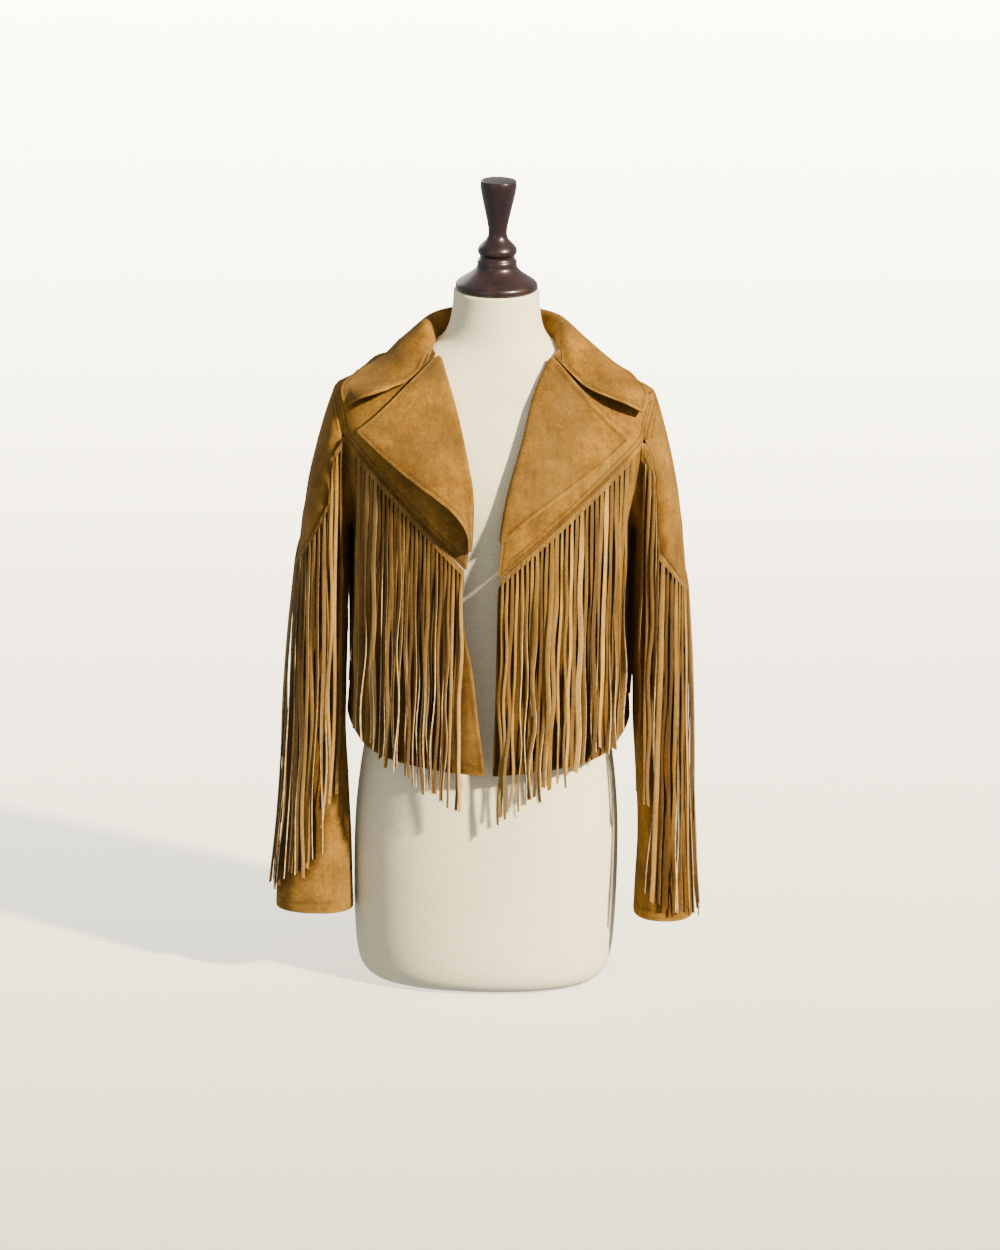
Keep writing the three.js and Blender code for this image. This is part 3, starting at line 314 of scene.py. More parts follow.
def turn_round_arm(p):
    """The angle round the arm from its outer line, positive to the front."""
    out = out_of_sleeve(p)
    return math.atan2(-out.y, abs(out.x) if out.x * p.x > 0 else -abs(out.x))


def body_chart(p):
    """Across and up, in millimetres."""
    return p.x / MM, p.z / MM


def sleeve_chart(p):
    """Round the arm and up, in millimetres."""
    return turn_round_arm(p) * ARM_RADIUS_IN_MM, p.z / MM


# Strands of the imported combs
COMBS = ("fringe_front_left", "fringe_front_right", "fringe_back",
         "fringe_sleeve_left", "fringe_sleeve_right")
WELD = 0.004 * MM
LONG_EDGE = 60 * MM
CORNERS = 4
RINGS = 4
SPOT_SPACING = 6 * MM


def welded(node):
    """A solid's own closed form."""
    bm = bmesh.new()
    bm.from_mesh(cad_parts[node].data)
    bmesh.ops.remove_doubles(bm, verts=bm.verts, dist=WELD)
    return bm


def groups_of(items, neighbours):
    """The groups of items that hang together, always in the same order."""
    left = dict.fromkeys(items)
    groups = []
    while left:
        stack = [left.popitem()[0]]
        group = []
        while stack:
            item = stack.pop()
            group.append(item)
            for other in neighbours(item):
                if other in left:
                    del left[other]
                    stack.append(other)
        groups.append(group)
    return groups


def strand_rings(node, corners):
    """A strand's rings from its corners, top down: each a centre and the vector across it."""
    rings = []
    for i in range(0, len(corners) - CORNERS + 1, CORNERS):
        ring = corners[i:i + CORNERS]
        pair = sorted(ring[1:], key=lambda p: (p - ring[0]).length)
        one, two = (ring[0] + pair[0]) / 2, (pair[1] + pair[2]) / 2
        centre, across = (one + two) / 2, two - one
        if rings:
            backward = across.dot(rings[-1][1]) < 0
        else:
            backward = across.cross(UP).dot(out_of_strand(node, centre)) > 0
        if backward:
            across.negate()
        rings.append((centre, across))
    return rings


def strands_of(node):
    """Each strand of a comb as its rings, from the strip down, in their order along the comb."""
    bm = welded(node)

    def down_the_strand(vert):
        return [edge.other_vert(vert) for edge in vert.link_edges if edge.calc_length() > LONG_EDGE]

    strands = []
    for group in groups_of([v for v in bm.verts if down_the_strand(v)], down_the_strand):
        # The lowest corners are the strand's own; any above them belong to the strip
        corners = sorted((vert.co.copy() for vert in group), key=lambda p: -p.z)[-CORNERS * RINGS:]
        rings = strand_rings(node, corners)
        if len(rings) == RINGS:
            strands.append(rings)
    bm.free()
    strands.sort(key=lambda rings: order_of_strand(node, rings[0][0]))
    return strands


def out_of_strand(node, p):
    return out_of_sleeve(p) if "sleeve" in node else Vector((0, math.copysign(1, p.y - MIDDLE_Y), 0))


def order_of_strand(node, p):
    return turn_round_arm(p) if "sleeve" in node else p.x


def tree_of(points):
    """A tree to search among some points."""
    tree = KDTree(len(points))
    for i, point in enumerate(points):
        tree.insert(point, i)
    tree.balance()
    return tree


def strand_tree():
    """Points down every strand of every comb, to tell which cloth lies under them and gets painted shade.
    """
    spots = []
    for node in COMBS:
        for rings in strands_of(node):
            for (upper, _), (lower, _) in zip(rings, rings[1:]):
                count = max(1, int((upper - lower).length / SPOT_SPACING))
                spots += [upper.lerp(lower, i / count) for i in range(count)]
    return tree_of(spots)


strand_spots = strand_tree()


# Cloth
RIM_REACH = 5 * MM
EDGE_REACH = 8 * MM
EDGE_RISE = 1.2 * MM
PUFF = 0.4
PRESS = 0.4 * MM
GROOVE_WIDTH = 1.1 * MM
GROOVE_SEARCH = 5 * MM
# How far the painted shade reaches round the strands, and how it fades
STRAND_SHADE_REACH = 9 * MM
STRAND_SHADE_FADE = 1.6
WAVES_PER_METRE = 19
OUTER, INNER, RIM = range(3)
RIM_CORNER = math.radians(64)
FLAT_QUAD = math.radians(38)
SKEWED_QUAD = math.radians(70)
FOLD_OVERRUN = 0.3
FOLD_REACH = 4
FOLD_BANK, FOLD_BANK_SPREAD = 0.4, 5
STRAIGHT_BACK = 0.2
LEAST_MITRE = 0.5
CLOTH_CREASE = 0.5
STITCH_LENGTH = 3.0 * MM
STITCH_GAP = 1.1 * MM
STITCH_LIFT = 0.15 * MM
STITCH_RISE, STITCH_SINK = 0.55, 0.3
CLEAR_OF_EDGES = 0.9
SHORTEST_RUN = 4
OFF_THE_CLOTH = 6 * MM
RUN_BREAK = 14 * MM
RUN_STEP = 0.8 * MM


def select_only(obj):
    bpy.ops.object.select_all(action="DESELECT")
    obj.select_set(True)
    bpy.context.view_layer.objects.active = obj


def new_object(name, mesh):
    obj = bpy.data.objects.new(name, mesh)
    bpy.context.scene.collection.objects.link(obj)
    return obj


def merged(node):
    """A solid's own closed form, its triangles joined to quads again."""
    bm = welded(node)
    bmesh.ops.join_triangles(
        bm, faces=bm.faces, angle_face_threshold=FLAT_QUAD, angle_shape_threshold=SKEWED_QUAD
    )
    bm.normal_update()
    return bm


def crease_edges(bm, sharp, weight):
    """Holds the edges sharper than an angle against smoothing."""
    layer = bm.edges.layers.float.get("crease_edge") or bm.edges.layers.float.new("crease_edge")
    for edge in bm.edges:
        if len(edge.link_faces) == 2 and edge.calc_face_angle(0) > sharp:
            edge[layer] = weight


def mark_sides(bm, field):
    """Marks a wall's outer face, its inner face and its rim."""
    def across_smooth_edges(face):
        smooth_edges = [edge for edge in face.edges if edge.calc_face_angle(0) <= RIM_CORNER]
        return [other for edge in smooth_edges for other in edge.link_faces]

    patches = groups_of(bm.faces, across_smooth_edges)
    patches.sort(key=lambda patch: -sum(face.calc_area() for face in patch))
    for face in bm.faces:
        face.material_index = RIM

    def facing(patch):
        return sum(f.calc_area() * f.normal.dot(field(f.calc_center_median())) for f in patch)

    outer, inner = sorted(patches[:2], key=facing, reverse=True)
    for face in outer:
        face.material_index = OUTER
    for face in inner:
        face.material_index = INNER


def smoothed(obj, levels):
    """Subdivides an object and shades it smooth."""
    select_only(obj)
    modifier = obj.modifiers.new("smooth", "SUBSURF")
    modifier.levels = levels
    modifier.render_levels = levels
    bpy.ops.object.modifier_apply(modifier=modifier.name)
    bpy.ops.object.shade_smooth()


def rim_loops(bm):
    """The loops round a wall's outer face: each point, its way in from the edge and its mitre."""
    steps = {}
    for edge in bm.edges:
        outer = [face for face in edge.link_faces if face.material_index == OUTER]
        if len(outer) != 1 or len(edge.link_faces) != 2:
            continue
        face = outer[0]
        along = (edge.verts[1].co - edge.verts[0].co).normalized()
        inward = face.normal.cross(along)
        middle = (edge.verts[0].co + edge.verts[1].co) / 2
        if inward.dot(face.calc_center_median() - middle) < 0:
            inward.negate()
        for here, there in (edge.verts, reversed(edge.verts)):
            steps.setdefault(here, []).append((there, inward))
    loops = []
    left = dict.fromkeys(steps)
    while left:
        here, _ = left.popitem()
        rows = []
        while here is not None:
            ways = [inward for _, inward in steps[here]]
            total = sum(ways, Vector())
            way = total.normalized() if total.length > STRAIGHT_BACK else ways[0]
            rows.append((here.co.copy(), way, max(LEAST_MITRE, way.dot(ways[0]))))
            here = next((there for there, _ in steps[here] if there in left), None)
            left.pop(here, None)
        loops.append(rows)
    return loops


def fold_depth(folds, u, v):
    """How far the cloth is moved at one place by the folds of its table."""
    total = 0.0
    for u0, v0, u1, v1, width, depth in folds:
        du, dv = u1 - u0, v1 - v0
        length2 = du * du + dv * dv
        along = ((u - u0) * du + (v - v0) * dv) / length2
        if not -FOLD_OVERRUN < along < 1 + FOLD_OVERRUN:
            continue
        held = held_share(along)
        away = math.hypot(u - u0 - held * du, v - v0 - held * dv) / width
        if away > FOLD_REACH:
            continue
        fade = math.sin(math.pi * held_share((along + FOLD_OVERRUN) / (1 + 2 * FOLD_OVERRUN)))
        bank = FOLD_BANK * math.exp(-away * away / FOLD_BANK_SPREAD)
        total += depth * fade * (math.exp(-away * away) - bank)
    return total


def stitch_mesh(runs, width):
    """Small spindle-shaped stitches along runs of points with normals."""
    length, gap = STITCH_LENGTH, STITCH_GAP
    verts = []
    faces = []
    for run in runs:
        points = [p for p, _ in run]
        walked = [0.0]
        for a, b in zip(points, points[1:]):
            walked.append(walked[-1] + (b - a).length)
        at = gap / 2
        index = 0
        while at + length < walked[-1]:
            while walked[index + 1] < at + length / 2:
                index += 1
            share = (at + length / 2 - walked[index]) / max(1e-9, walked[index + 1] - walked[index])
            middle = points[index].lerp(points[index + 1], share)
            normal = run[index][1].lerp(run[index + 1][1], share).normalized()
            along = (points[index + 1] - points[index]).normalized()
            side = normal.cross(along).normalized()
            first = len(verts)
            ends = (middle - along * length / 2, middle + along * length / 2)
            belt = [middle + side * width / 2, middle + normal * width * STITCH_RISE,
                    middle - side * width / 2, middle - normal * width * STITCH_SINK]
            verts += [*ends, *belt]
            for k in range(4):
                a, b = first + 2 + k, first + 2 + (k + 1) % 4
                faces += [(first, a, b), (first + 1, b, a)]
            at += length + gap
    return verts, faces


def stitch_runs(loops, surface, tree, inset, keep):
    """Runs of points on the cloth at one distance in from the kept edges."""
    runs = []
    for loop in loops:
        run = []
        for point, inward, mitre in [*loop, loop[0]]:
            moved = point + inward * (inset / mitre)
            near, normal, _, away = surface.find_nearest(moved)
            good = near is not None and away < OFF_THE_CLOTH and keep(point, inward)
            if good and tree.find(near)[2] > CLEAR_OF_EDGES * inset:
                if run and (near - run[-1][0]).length > RUN_BREAK:
                    runs.append(run)
                    run = []
                if not run or (near - run[-1][0]).length > RUN_STEP:
                    run.append((near + normal * STITCH_LIFT, normal.copy()))
            elif not good and run:
                runs.append(run)
                run = []
        if run:
            runs.append(run)
    return [run for run in runs if len(run) > SHORTEST_RUN]


def rim_tree(loops):
    """The loops' points to search among, and each one's way in."""
    rows = [row for loop in loops for row in loop]
    return tree_of([point for point, _, _ in rows]), [inward for _, inward, _ in rows]


def shape_cloth(bm, field, chart, folds, rows, seed, wave):
    """Creases the cloth, thickens its turned edges and presses in the stitched lines.

    Returns how far each point is on the rim, in a stitched groove and under the strands: where the suede
    gets its painted edge highlight and its painted shade.
    """
    tree, ways = rim_tree(rim_loops(bm))
    outer_verts = {v.index for f in bm.faces if f.material_index == OUTER for v in f.verts}
    deepest = max((inset for inset, _, _ in rows), default=0)
    rim, groove, strand_shade = np.zeros((3, len(bm.verts)))
    moved = []
    for vert in bm.verts:
        amount = fold_depth(folds, *chart(vert.co))
        amount += wave * noise.noise(vert.co * WAVES_PER_METRE + Vector((seed, 0, 0)))
        shift = field(vert.co) * amount * MM
        if vert.index in outer_verts:
            # Painted shade: stronger the nearer a strand hangs
            strand_shade[vert.index] = held_share(STRAND_SHADE_FADE - strand_spots.find(vert.co)[2] / STRAND_SHADE_REACH)
            point, index, away = tree.find(vert.co)
            rim[vert.index] = max(0.0, 1 - away / RIM_REACH)
            if away < deepest + GROOVE_SEARCH:
                for inset, keep, _ in rows:
                    if keep(point, ways[index]):
                        near = math.exp(-(((away - inset) / GROOVE_WIDTH) ** 2))
                        groove[vert.index] = max(groove[vert.index], near)
            if rows and away < EDGE_REACH:
                puff = PUFF * min(1.0, away / EDGE_RISE) * (1 - away / EDGE_REACH)
                shift += vert.normal * puff * MM
            shift -= vert.normal * PRESS * groove[vert.index]
        moved.append(vert.co + shift)
    for vert, place_now in zip(bm.verts, moved):
        vert.co = place_now
    bm.normal_update()
    return {"rim": rim, "groove": groove, "strand_shade": strand_shade}


def sew(bm, rows):
    """The stitches of a piece, along each of its rows."""
    loops = rim_loops(bm)
    tree, _ = rim_tree(loops)
    outer = [[v.index for v in f.verts] for f in bm.faces if f.material_index == OUTER]
    surface = BVHTree.FromPolygons([v.co.copy() for v in bm.verts], outer)
    verts, faces = [], []
    for inset, keep, width in rows:
        runs = stitch_runs(loops, surface, tree, inset, keep)
        new_verts, new_faces = stitch_mesh(runs, width)
        faces += [tuple(i + len(verts) for i in face) for face in new_faces]
        verts += new_verts
    return verts, faces


def cloth(node, cut):
    """A panel of suede: the solid's form made smooth, creased, edged and topstitched."""
    bm = merged(node)
    mark_sides(bm, cut["field"])
    crease_edges(bm, RIM_CORNER, CLOTH_CREASE)
    mesh = bpy.data.meshes.new(f"{node}_cloth")
    bm.to_mesh(mesh)
    bm.free()
    obj = new_object(f"{node}_cloth", mesh)
    for _ in (OUTER, INNER, RIM):
        mesh.materials.append(suede)
    smoothed(obj, cut["levels"])
    bm = bmesh.new()
    bm.from_mesh(obj.data)
    bm.verts.ensure_lookup_table()
    marks = shape_cloth(bm, cut["field"], cut["chart"], cut["folds"], cut["rows"], cut["seed"], cut["wave"])
    verts, faces = sew(bm, cut["rows"])
    bm.to_mesh(obj.data)
    bm.free()
    for name, values in marks.items():
        attribute = obj.data.attributes.new(name, "FLOAT", "POINT")
        attribute.data.foreach_set("value", values.astype(np.float32))
    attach(obj, "root")
    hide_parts(node)
    sewing = []
    if faces:
        stitches = bpy.data.meshes.new(f"{node}_stitching")
        stitches.from_pydata(verts, [], faces)
        stitches.materials.append(thread)
        sewing.append(new_object(f"{node}_stitching", stitches))
        select_only(sewing[0])
        bpy.ops.object.shade_smooth()
        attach(sewing[0], "root")
    width, length, area = cut["flat"]
    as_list(cut["rests_on"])


# Which stretches of an edge carry a row of stitches, by their place and their way in from the edge
HEM_WAY = 0.75
LOWER_SEAM_WAY = 0.3
FRONT_EDGE_WAY = 0.6
ARMHOLE_WAY = 0.5
FRONT_EDGE_X = 45 * MM
ARMHOLE_X = 158 * MM
ARMHOLE_FOOT = 570 * MM
COLLAR_FALL = 96 * MM
PAST_ROLL_IN_MM = 9
# The roll line of each side, by its sign: height and reach from the middle, in millimetres
ROLL = {
    1: ((572, 12), (642, 25), (686, 38), (740, 51), (776, 68)),
    -1: ((560, 26), (616, 26), (667, 35), (724, 50), (776, 68)),
}


def on_hem(p, inward):
    return inward.z > HEM_WAY


def on_lower_seam(p, inward):
    return inward.z > LOWER_SEAM_WAY


def on_front_edge(p, inward):
    return abs(p.x) < FRONT_EDGE_X and abs(inward.x) > FRONT_EDGE_WAY


def on_armhole(p, inward):
    return abs(p.x) > ARMHOLE_X and p.z > ARMHOLE_FOOT and inward.z < ARMHOLE_WAY


def on_lapel(p, inward):
    heights, reaches = zip(*ROLL[1 if p.x > 0 else -1])
    return abs(p.x) / MM > np.interp(p.z / MM, heights, reaches) + PAST_ROLL_IN_MM


def on_collar(p, inward):
    return math.hypot(p.x, p.y - MIDDLE_Y) > COLLAR_FALL


# Rows of stitches: how far in from the edge, which stretch of it, and the thread's width
WIDE = 0.9 * MM
HEM_ROW = (12 * MM, on_hem, WIDE)
FRONT_EDGE_ROW = (4 * MM, on_front_edge, WIDE)
FRONT_ROWS = [FRONT_EDGE_ROW, HEM_ROW]
YOKE_ROWS = [(2.5 * MM, on_lower_seam, WIDE), (8 * MM, on_lower_seam, WIDE), (4 * MM, on_armhole, WIDE)]
CAP_ROWS = [(2.5 * MM, on_lower_seam, WIDE), (8 * MM, on_lower_seam, WIDE)]
LAPEL_ROWS = [(5 * MM, on_lapel, WIDE)]
COLLAR_ROWS = [(5 * MM, on_collar, WIDE)]

# Folds: across and up of each end, width and depth in millimetres, on each piece's own chart
BACK_FOLDS = [(-120, 520, -95, 350, 16, -3), (-60, 470, -72, 330, 13, 2.5), (18, 540, 5, 340, 15, -2.6),
              (74, 500, 92, 345, 14, 2.4), (130, 530, 112, 370, 13, -3)]
YOKE_FOLDS = [(-120, 690, -60, 640, 12, -1.4), (60, 640, 118, 700, 11, -1.2), (-10, 700, 12, 620, 14, 1)]
LEFT_FOLDS = [(60, 520, 76, 360, 13, -2.4), (112, 540, 100, 400, 14, 2.2), (30, 470, 38, 320, 11, 2)]
RIGHT_FOLDS = [(-58, 500, -72, 350, 13, -2.6), (-118, 530, -100, 390, 12, 2.2),
               (-36, 430, -30, 310, 10, -1.8)]
LAPEL_FOLDS = {
    "left": [(60, 735, 118, 668, 16, 1.4), (40, 650, 90, 640, 12, -1.2)],
    "right": [(-58, 740, -112, 690, 15, -1.6), (-40, 640, -88, 660, 13, 1.4),
              (-120, 690, -150, 700, 10, -1.2)],
}
COLLAR_FOLDS = [(-118, 744, -164, 728, 14, 26), (116, 743, 166, 727, 13, 8), (-96, 770, -140, 742, 11, -2),
                (100, 772, 150, 740, 12, -2.2)]
CAP_FOLDS = [(-20, 655, 24, 610, 12, -1.8), (30, 585, -6, 560, 10, 1.6), (-42, 600, -30, 545, 9, -1.6)]
SLEEVE_FOLDS = {
    "left": [(36, 470, 92, 430, 9, -4), (20, 425, 86, 372, 10, 3.4), (64, 352, 118, 330, 9, -3.4),
             (-20, 400, -74, 446, 10, -3.6), (-40, 340, -100, 376, 9, 3), (10, 260, 60, 212, 12, -2.6),
             (-30, 240, -84, 270, 11, 2.6), (34, 150, -10, 180, 12, 1.8), (96, 470, 120, 400, 8, -3)],
    "right": [(30, 455, 84, 412, 10, 3.4), (24, 400, 92, 352, 9, -4), (58, 318, 112, 292, 10, -3),
              (-24, 420, -80, 380, 9, -3.6), (-36, 312, -90, 352, 10, 3.2), (8, 236, 66, 200, 11, 2.4),
              (-22, 210, -78, 246, 12, -2.6), (28, 140, -16, 120, 12, -1.8), (100, 480, 126, 430, 8, 2.6)],
}


def cut(field, chart, folds, rows, flat, seed, held="draped", rests_on=("form_torso",), levels=3, wave=0.5):
    """One panel. flat is its width, length and area as cut, in metres, and is not used; wave is in
    millimetres.
    """
    return {"field": field, "chart": chart, "folds": folds, "rows": rows, "flat": flat, "seed": seed,
            "held": held, "rests_on": list(rests_on), "levels": levels, "wave": wave}


def body_cut(*rest, **more):
    return cut(out_of_body, body_chart, *rest, **more)


def sleeve_cut(*rest, **more):
    return cut(out_of_sleeve, sleeve_chart, *rest, held="hung", **more)


CUTS = {
    "back_body": body_cut(BACK_FOLDS, [HEM_ROW], (0.475, 0.37, 0.1327), 1, levels=2),
    "back_yoke": body_cut(YOKE_FOLDS, YOKE_ROWS, (0.44, 0.235, 0.0682), 2, levels=2, wave=0.2),
    "collar": cut(out_of_collar, body_chart, COLLAR_FOLDS, COLLAR_ROWS, (0.58, 0.13, 0.0517), 3,
                  held="folded", wave=0.9),
    "front_body_left": body_cut(LEFT_FOLDS, FRONT_ROWS, (0.24, 0.4, 0.0691), 4),
    "front_body_right": body_cut(RIGHT_FOLDS, FRONT_ROWS, (0.235, 0.4, 0.0652), 5),
    "front_yoke_left": body_cut([], [*YOKE_ROWS, FRONT_EDGE_ROW], (0.2, 0.285, 0.0299), 6, wave=0.2),
    "front_yoke_right": body_cut([], [*YOKE_ROWS, FRONT_EDGE_ROW], (0.185, 0.275, 0.029), 7, wave=0.2),
    "lapel_left": body_cut(LAPEL_FOLDS["left"], LAPEL_ROWS, (0.165, 0.225, 0.0173), 8,
                           held="folded", rests_on=["front_yoke_left"], wave=0.6),
    "lapel_right": body_cut(LAPEL_FOLDS["right"], LAPEL_ROWS, (0.165, 0.235, 0.0171), 9,
                            held="folded", rests_on=["front_yoke_right"], wave=0.8),
    "sleeve_cap_left": sleeve_cut(CAP_FOLDS, CAP_ROWS, (0.175, 0.235, 0.0283), 10,
                                  rests_on=["front_yoke_left"]),
    "sleeve_cap_right": sleeve_cut(CAP_FOLDS, CAP_ROWS, (0.175, 0.235, 0.0237), 11,
                                   rests_on=["front_yoke_right"]),
    "sleeve_left": sleeve_cut(SLEEVE_FOLDS["left"], [HEM_ROW], (0.33, 0.6, 0.1339), 12,
                              rests_on=["sleeve_cap_left"], wave=0.9),
    "sleeve_right": sleeve_cut(SLEEVE_FOLDS["right"], [HEM_ROW], (0.33, 0.6, 0.1385), 13,
                               rests_on=["sleeve_cap_right"], wave=0.9),
}
for node, facts in CUTS.items():
    cloth(node, facts)


# Fringe
STRAND_STEPS = 18
SIDES = 8
CUT_SIDES = (3, 7)
THICK = 1.6 * MM
CORNER = 0.35 * MM
WIDEST_PITCH = 14 * MM
ROOT_RISE = 8 * MM
ROOT_SINK = 1.4 * MM
ROOT_LIP = 0.6 * MM
ROOT_SHARE = 0.52
STRAND_WIDTHS = (0.72, 1.2)
NARROWING = 0.12
# How far the strands stand out as they hang, and the step between their layers
SLEEVE_HANG = (2.0 * MM, 1.3 * MM)
BODY_HANG = (3.2 * MM, 1.7 * MM)
LAYERS = 3
# Neighbours lean and swing nearly alike: steps along the noise from strand to strand
LEAN_STEP, LEAN_SPREAD = 0.42, 0.2
SWING_STEP, SWING_ROW = 0.6, 7
LEAN_POWER = 1.25
EDGE_ON_SHARE = 0.28
EDGE_ON_DEGREES = (65, 150)
FLAT_DEGREES = 30
TWIST_POWER = 1.4
# Ripples across a strand: millimetres, turns from root to end, and where they start
RIPPLES = 2
RIPPLE_SIZES, RIPPLE_COUNTS, RIPPLE_STARTS = (0.6, 2.2), (0.9, 3.2), (0, 6.3)
RIPPLE_TURN = 6.28
RIPPLE_POWER = 0.6
FLUTTER, FLUTTER_RATE = 0.8 * MM, 9
# How fast a strand leaves its root: outward to its layer, into its flutter and into its twist
LAYER_RATE, FLUTTER_RISE, TWIST_RATE = 5, 3, 8
TONE_MIDDLE, TONE_SPREAD = 0.5, 0.3
# Painted shade: strands of the inner layer, nearest the cloth, are toned darker
INNER_LAYER_SHADE = 0.12
ROOT_TONE, TONE_RATE = 0.5, 0.25
SLANTS = (-0.5, 0.9)
FRINGE_CORNER = math.radians(50)


def along_curve(points, t):
    """A smooth curve through a few points, t from 0 to 1."""
    at = t * (len(points) - 1)
    i = min(int(at), len(points) - 2)
    f = at - i
    p1, p2 = points[i], points[i + 1]
    p0 = points[i - 1] if i else p1 * 2 - p2
    p3 = points[i + 2] if i + 2 < len(points) else p2 * 2 - p1
    return 0.5 * ((2 * p1) + (p2 - p0) * f + (2 * p0 - 5 * p1 + 4 * p2 - p3) * f * f
                  + (3 * p1 - p0 - 3 * p2 + p3) * f ** 3)


def level(vector):
    """A vector's direction on the ground."""
    return Vector((vector.x, vector.y, 0)).normalized()


def section(centre, across, half, out):
    """A strand's section: a flat ribbon with slightly broken corners."""
    side = across.normalized()
    inner, half_thick, corner_thick = half - CORNER, 0.5 * THICK, 0.3 * THICK
    return [centre + side * x + out * y for x, y in (
        (-half, -corner_thick), (-inner, -half_thick), (inner, -half_thick), (half, -corner_thick),
        (half, corner_thick), (inner, half_thick), (-inner, half_thick), (-half, corner_thick))]


class Strand:
    """One cut strand: where it hangs from, and its own width, lean, twist, layer, tone and slanted end."""

    def __init__(self, node, strands, k, seed, sway, chance):
        rings = strands[k]
        self.centres = [centre for centre, _ in rings]
        self.root, self.across = rings[0]
        self.out = out_of_strand(node, self.root)
        neighbour = strands[k + 1 if k + 1 < len(strands) else k - 1][0][0]
        self.pitch = min((neighbour - self.root).length, WIDEST_PITCH)
        self.half = min(across.length for _, across in rings[1:]) / 2 * chance.uniform(*STRAND_WIDTHS)
        leaning = noise.noise(Vector((k * LEAN_STEP, seed, 0)))
        self.lean = sway * (leaning + chance.gauss(0, LEAN_SPREAD))
        if node == "fringe_back" and k in (0, len(strands) - 1):
            self.half, self.lean = self.pitch / 2, 0.0
        reach, layer_step = SLEEVE_HANG if "sleeve" in node else BODY_HANG
        self.swing = reach * (noise.noise(Vector((k * SWING_STEP, seed, SWING_ROW))) + 1)
        if chance.random() < EDGE_ON_SHARE:
            self.twist = math.radians(chance.choice((-1, 1)) * chance.uniform(*EDGE_ON_DEGREES))
        else:
            self.twist = math.radians(chance.gauss(0, FLAT_DEGREES))
        self.ripple = [(chance.uniform(*RIPPLE_SIZES) * MM, chance.uniform(*RIPPLE_COUNTS),
                        chance.uniform(*RIPPLE_STARTS)) for _ in range(RIPPLES)]
        layer = k * 2 % LAYERS
        self.depth = layer * layer_step
        # Painted shade on the inner layer's strands
        layer_shade = INNER_LAYER_SHADE if layer == 0 else 0
        self.tone = held_share(chance.gauss(TONE_MIDDLE, TONE_SPREAD) - layer_shade)
        self.slant = chance.uniform(*SLANTS)

    def hanging_row(self, t):
        """The section a share t of the way from the strip to the end."""
        tangent = level(self.across)
        grow = t ** LEAN_POWER
        waves = sum(size * math.sin(count * RIPPLE_TURN * t + start) * t ** RIPPLE_POWER
                    for size, count, start in self.ripple)
        flutter = FLUTTER * math.sin(FLUTTER_RATE * t + self.ripple[0][2]) * min(1.0, FLUTTER_RISE * t)
        centre = along_curve(self.centres, t)
        centre += tangent * (self.lean * grow + waves)
        centre += self.out * (self.swing * grow + self.depth * min(1.0, LAYER_RATE * t) + flutter)
        turn = Matrix.Rotation(self.twist * t ** TWIST_POWER, 3, "Z")
        side = turn @ tangent.lerp(self.across.normalized(), max(0.0, 1 - TWIST_RATE * t)).normalized()
        row = section(centre, side, self.half * (1 - NARROWING * t), turn @ level(self.out))
        if t == 1:
            row = [p + UP * (self.slant * (p - centre).dot(side)) for p in row]
        return row

    def rows(self):
        """The sections, from behind the strip to the end."""
        width = self.pitch * ROOT_SHARE
        return [section(self.root + UP * ROOT_RISE - self.out * ROOT_SINK, self.across, width, self.out),
                section(self.root + UP * ROOT_LIP, self.across, width, self.out),
                *(self.hanging_row(i / STRAND_STEPS) for i in range(STRAND_STEPS + 1))]


def strand_faces(first, count):
    """The faces of a strand of so many sections, and which of them are cut edges."""
    faces, cut_edges = [], []
    for r in range(count - 1):
        for c in range(SIDES):
            a, b = first + r * SIDES + c, first + r * SIDES + (c + 1) % SIDES
            faces.append((a, a + SIDES, b + SIDES, b))
            cut_edges.append(c in CUT_SIDES and r > 0)
    last = first + (count - 1) * SIDES
    ends = [tuple(range(first, first + SIDES)), tuple(reversed(range(last, last + SIDES)))]
    return faces + ends, [*cut_edges, False, True]


def fringe(node, seed, sway):
    """A comb of cut strands."""
    chance = random.Random(seed)
    strands = strands_of(node)
    verts, faces, cut_edges, tones = [], [], [], []
    for k in range(len(strands)):
        strand = Strand(node, strands, k, seed, sway, chance)
        rows = strand.rows()
        new_faces, new_cut_edges = strand_faces(len(verts), len(rows))
        faces += new_faces
        cut_edges += new_cut_edges
        for r, row in enumerate(rows):
            own = min(1.0, TONE_RATE * r)
            verts += row
            tones += [strand.tone * own + ROOT_TONE * (1 - own)] * SIDES
    mesh = bpy.data.meshes.new(f"{node}_strands")
    mesh.from_pydata(verts, [], faces)
    mesh.materials.append(strand_suede)
    mesh.materials.append(cut_suede)
    mesh.polygons.foreach_set("material_index", [int(is_cut) for is_cut in cut_edges])
    mesh.attributes.new("tone", "FLOAT", "POINT").data.foreach_set("value", tones)
    obj = new_object(f"{node}_strands", mesh)
    select_only(obj)
    bpy.ops.object.mode_set(mode="EDIT")
    bpy.ops.mesh.select_all(action="SELECT")
    bpy.ops.mesh.normals_make_consistent(inside=False)
    bpy.ops.object.mode_set(mode="OBJECT")
    bpy.ops.object.shade_smooth_by_angle(angle=FRINGE_CORNER)
    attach(obj, "root")
    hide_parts(node)


fringe("fringe_front_left", 21, 9 * MM)
fringe("fringe_front_right", 22, 9 * MM)
fringe("fringe_back", 23, 9 * MM)
fringe("fringe_sleeve_left", 24, 8 * MM)
fringe("fringe_sleeve_right", 25, 8 * MM)


# The form and its cap
FORM_CREASE = 0.8
FORM_LEVELS = 3


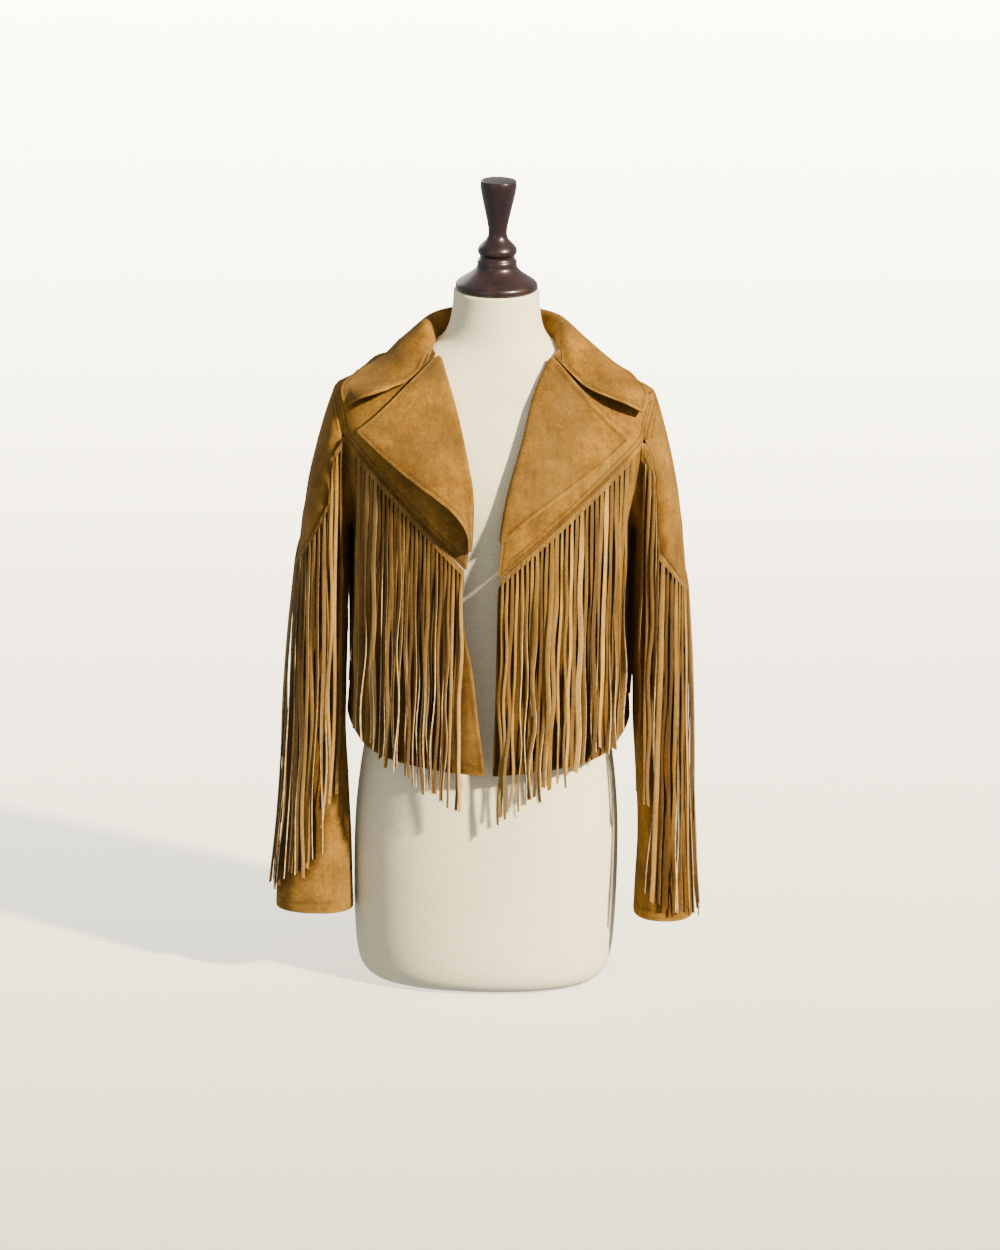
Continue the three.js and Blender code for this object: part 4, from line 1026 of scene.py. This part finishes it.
def rounded(node, name, material, sharp):
    """A smooth copy of a solid that keeps its edges sharper than an angle."""
    bm = merged(node)
    crease_edges(bm, sharp, FORM_CREASE)
    mesh = bpy.data.meshes.new(name)
    bm.to_mesh(mesh)
    bm.free()
    mesh.materials.append(material)
    obj = new_object(name, mesh)
    smoothed(obj, FORM_LEVELS)
    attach(obj, "root")
    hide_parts(node)


rounded("form_torso", "linen_form", linen, math.radians(50))
rounded("neck_cap", "turned_neck_cap", wood, math.radians(55))


# Floor and light
FLOOR_NEAR, FLOOR_FAR = -1.2, 5.4
FLOOR_SIDE, FLOOR_FRONT, FLOOR_BACK = 40, -20, 60
SUN_SPREAD = math.radians(4)


def floor_material():
    """A pale studio sweep that brightens away from the camera, with a painted glow of its own that also
    lightens the cast shadow.
    """
    n = Nodes("studio_floor")
    split = n.add("ShaderNodeSeparateXYZ")
    n.link(n.place, split.inputs["Vector"])
    far = n.range(split.outputs["Y"], FLOOR_NEAR, FLOOR_FAR)
    # Painted light: both the colour and the floor's own glow brighten away from the camera
    colour = n.ramp(far, (0.0, (0.44, 0.415, 0.33)), (0.45, (0.62, 0.59, 0.5)), (1.0, (0.85, 0.81, 0.72)))
    glow = n.ramp(far, (0.0, (0.9, 0.86, 0.66)), (0.45, (2.7, 2.5, 1.95)), (1.0, (10.5, 9.6, 7.4)))
    n.link(glow, n.shader.inputs["Emission Color"])
    n.shader.inputs["Emission Strength"].default_value = 1.0
    return n.finish(colour, Roughness=0.9, Specular_IOR_Level=0.1)


floor_mesh = bpy.data.meshes.new("studio_floor")
floor_mesh.from_pydata([(-FLOOR_SIDE, FLOOR_FRONT, 0), (FLOOR_SIDE, FLOOR_FRONT, 0),
                        (FLOOR_SIDE, FLOOR_BACK, 0), (-FLOOR_SIDE, FLOOR_BACK, 0)], [], [(0, 1, 2, 3)])
floor_mesh.materials.append(floor_material())
floor = new_object("studio_floor", floor_mesh)
floor.visible_diffuse = False
floor.visible_glossy = False


def lamp(name, kind, place, aim, energy, colour, **sizes):
    """A light at a place, aimed at a point."""
    data = bpy.data.lights.new(name, kind)
    data.energy = energy
    data.color = colour
    for key, value in sizes.items():
        setattr(data, key, value)
    obj = bpy.data.objects.new(name, data)
    bpy.context.scene.collection.objects.link(obj)
    obj.location = place
    obj.rotation_euler = (Vector(aim) - Vector(place)).to_track_quat("-Z", "Y").to_euler()


lamp("key", "SUN", (2.7, -2.2, 2.8), (0, 0, 0.5), 16.0, (1.0, 0.87, 0.64), angle=SUN_SPREAD)
lamp("front_fill", "AREA", (-2.0, -3.0, 1.6), (0, 0, 0.45), 14, (1.0, 0.97, 0.88), size=2.2)
lamp("back_fill", "AREA", (-1.6, 3.4, 1.9), (0, 0, 0.45), 45, (1.0, 0.95, 0.86), size=2.4)
world = bpy.data.worlds.new("studio")
world.use_nodes = True
sky = world.node_tree.nodes["Background"]
sky.inputs["Color"].default_value = (0.94, 0.96, 1.0, 1)
sky.inputs["Strength"].default_value = 0.64
bpy.context.scene.world = world
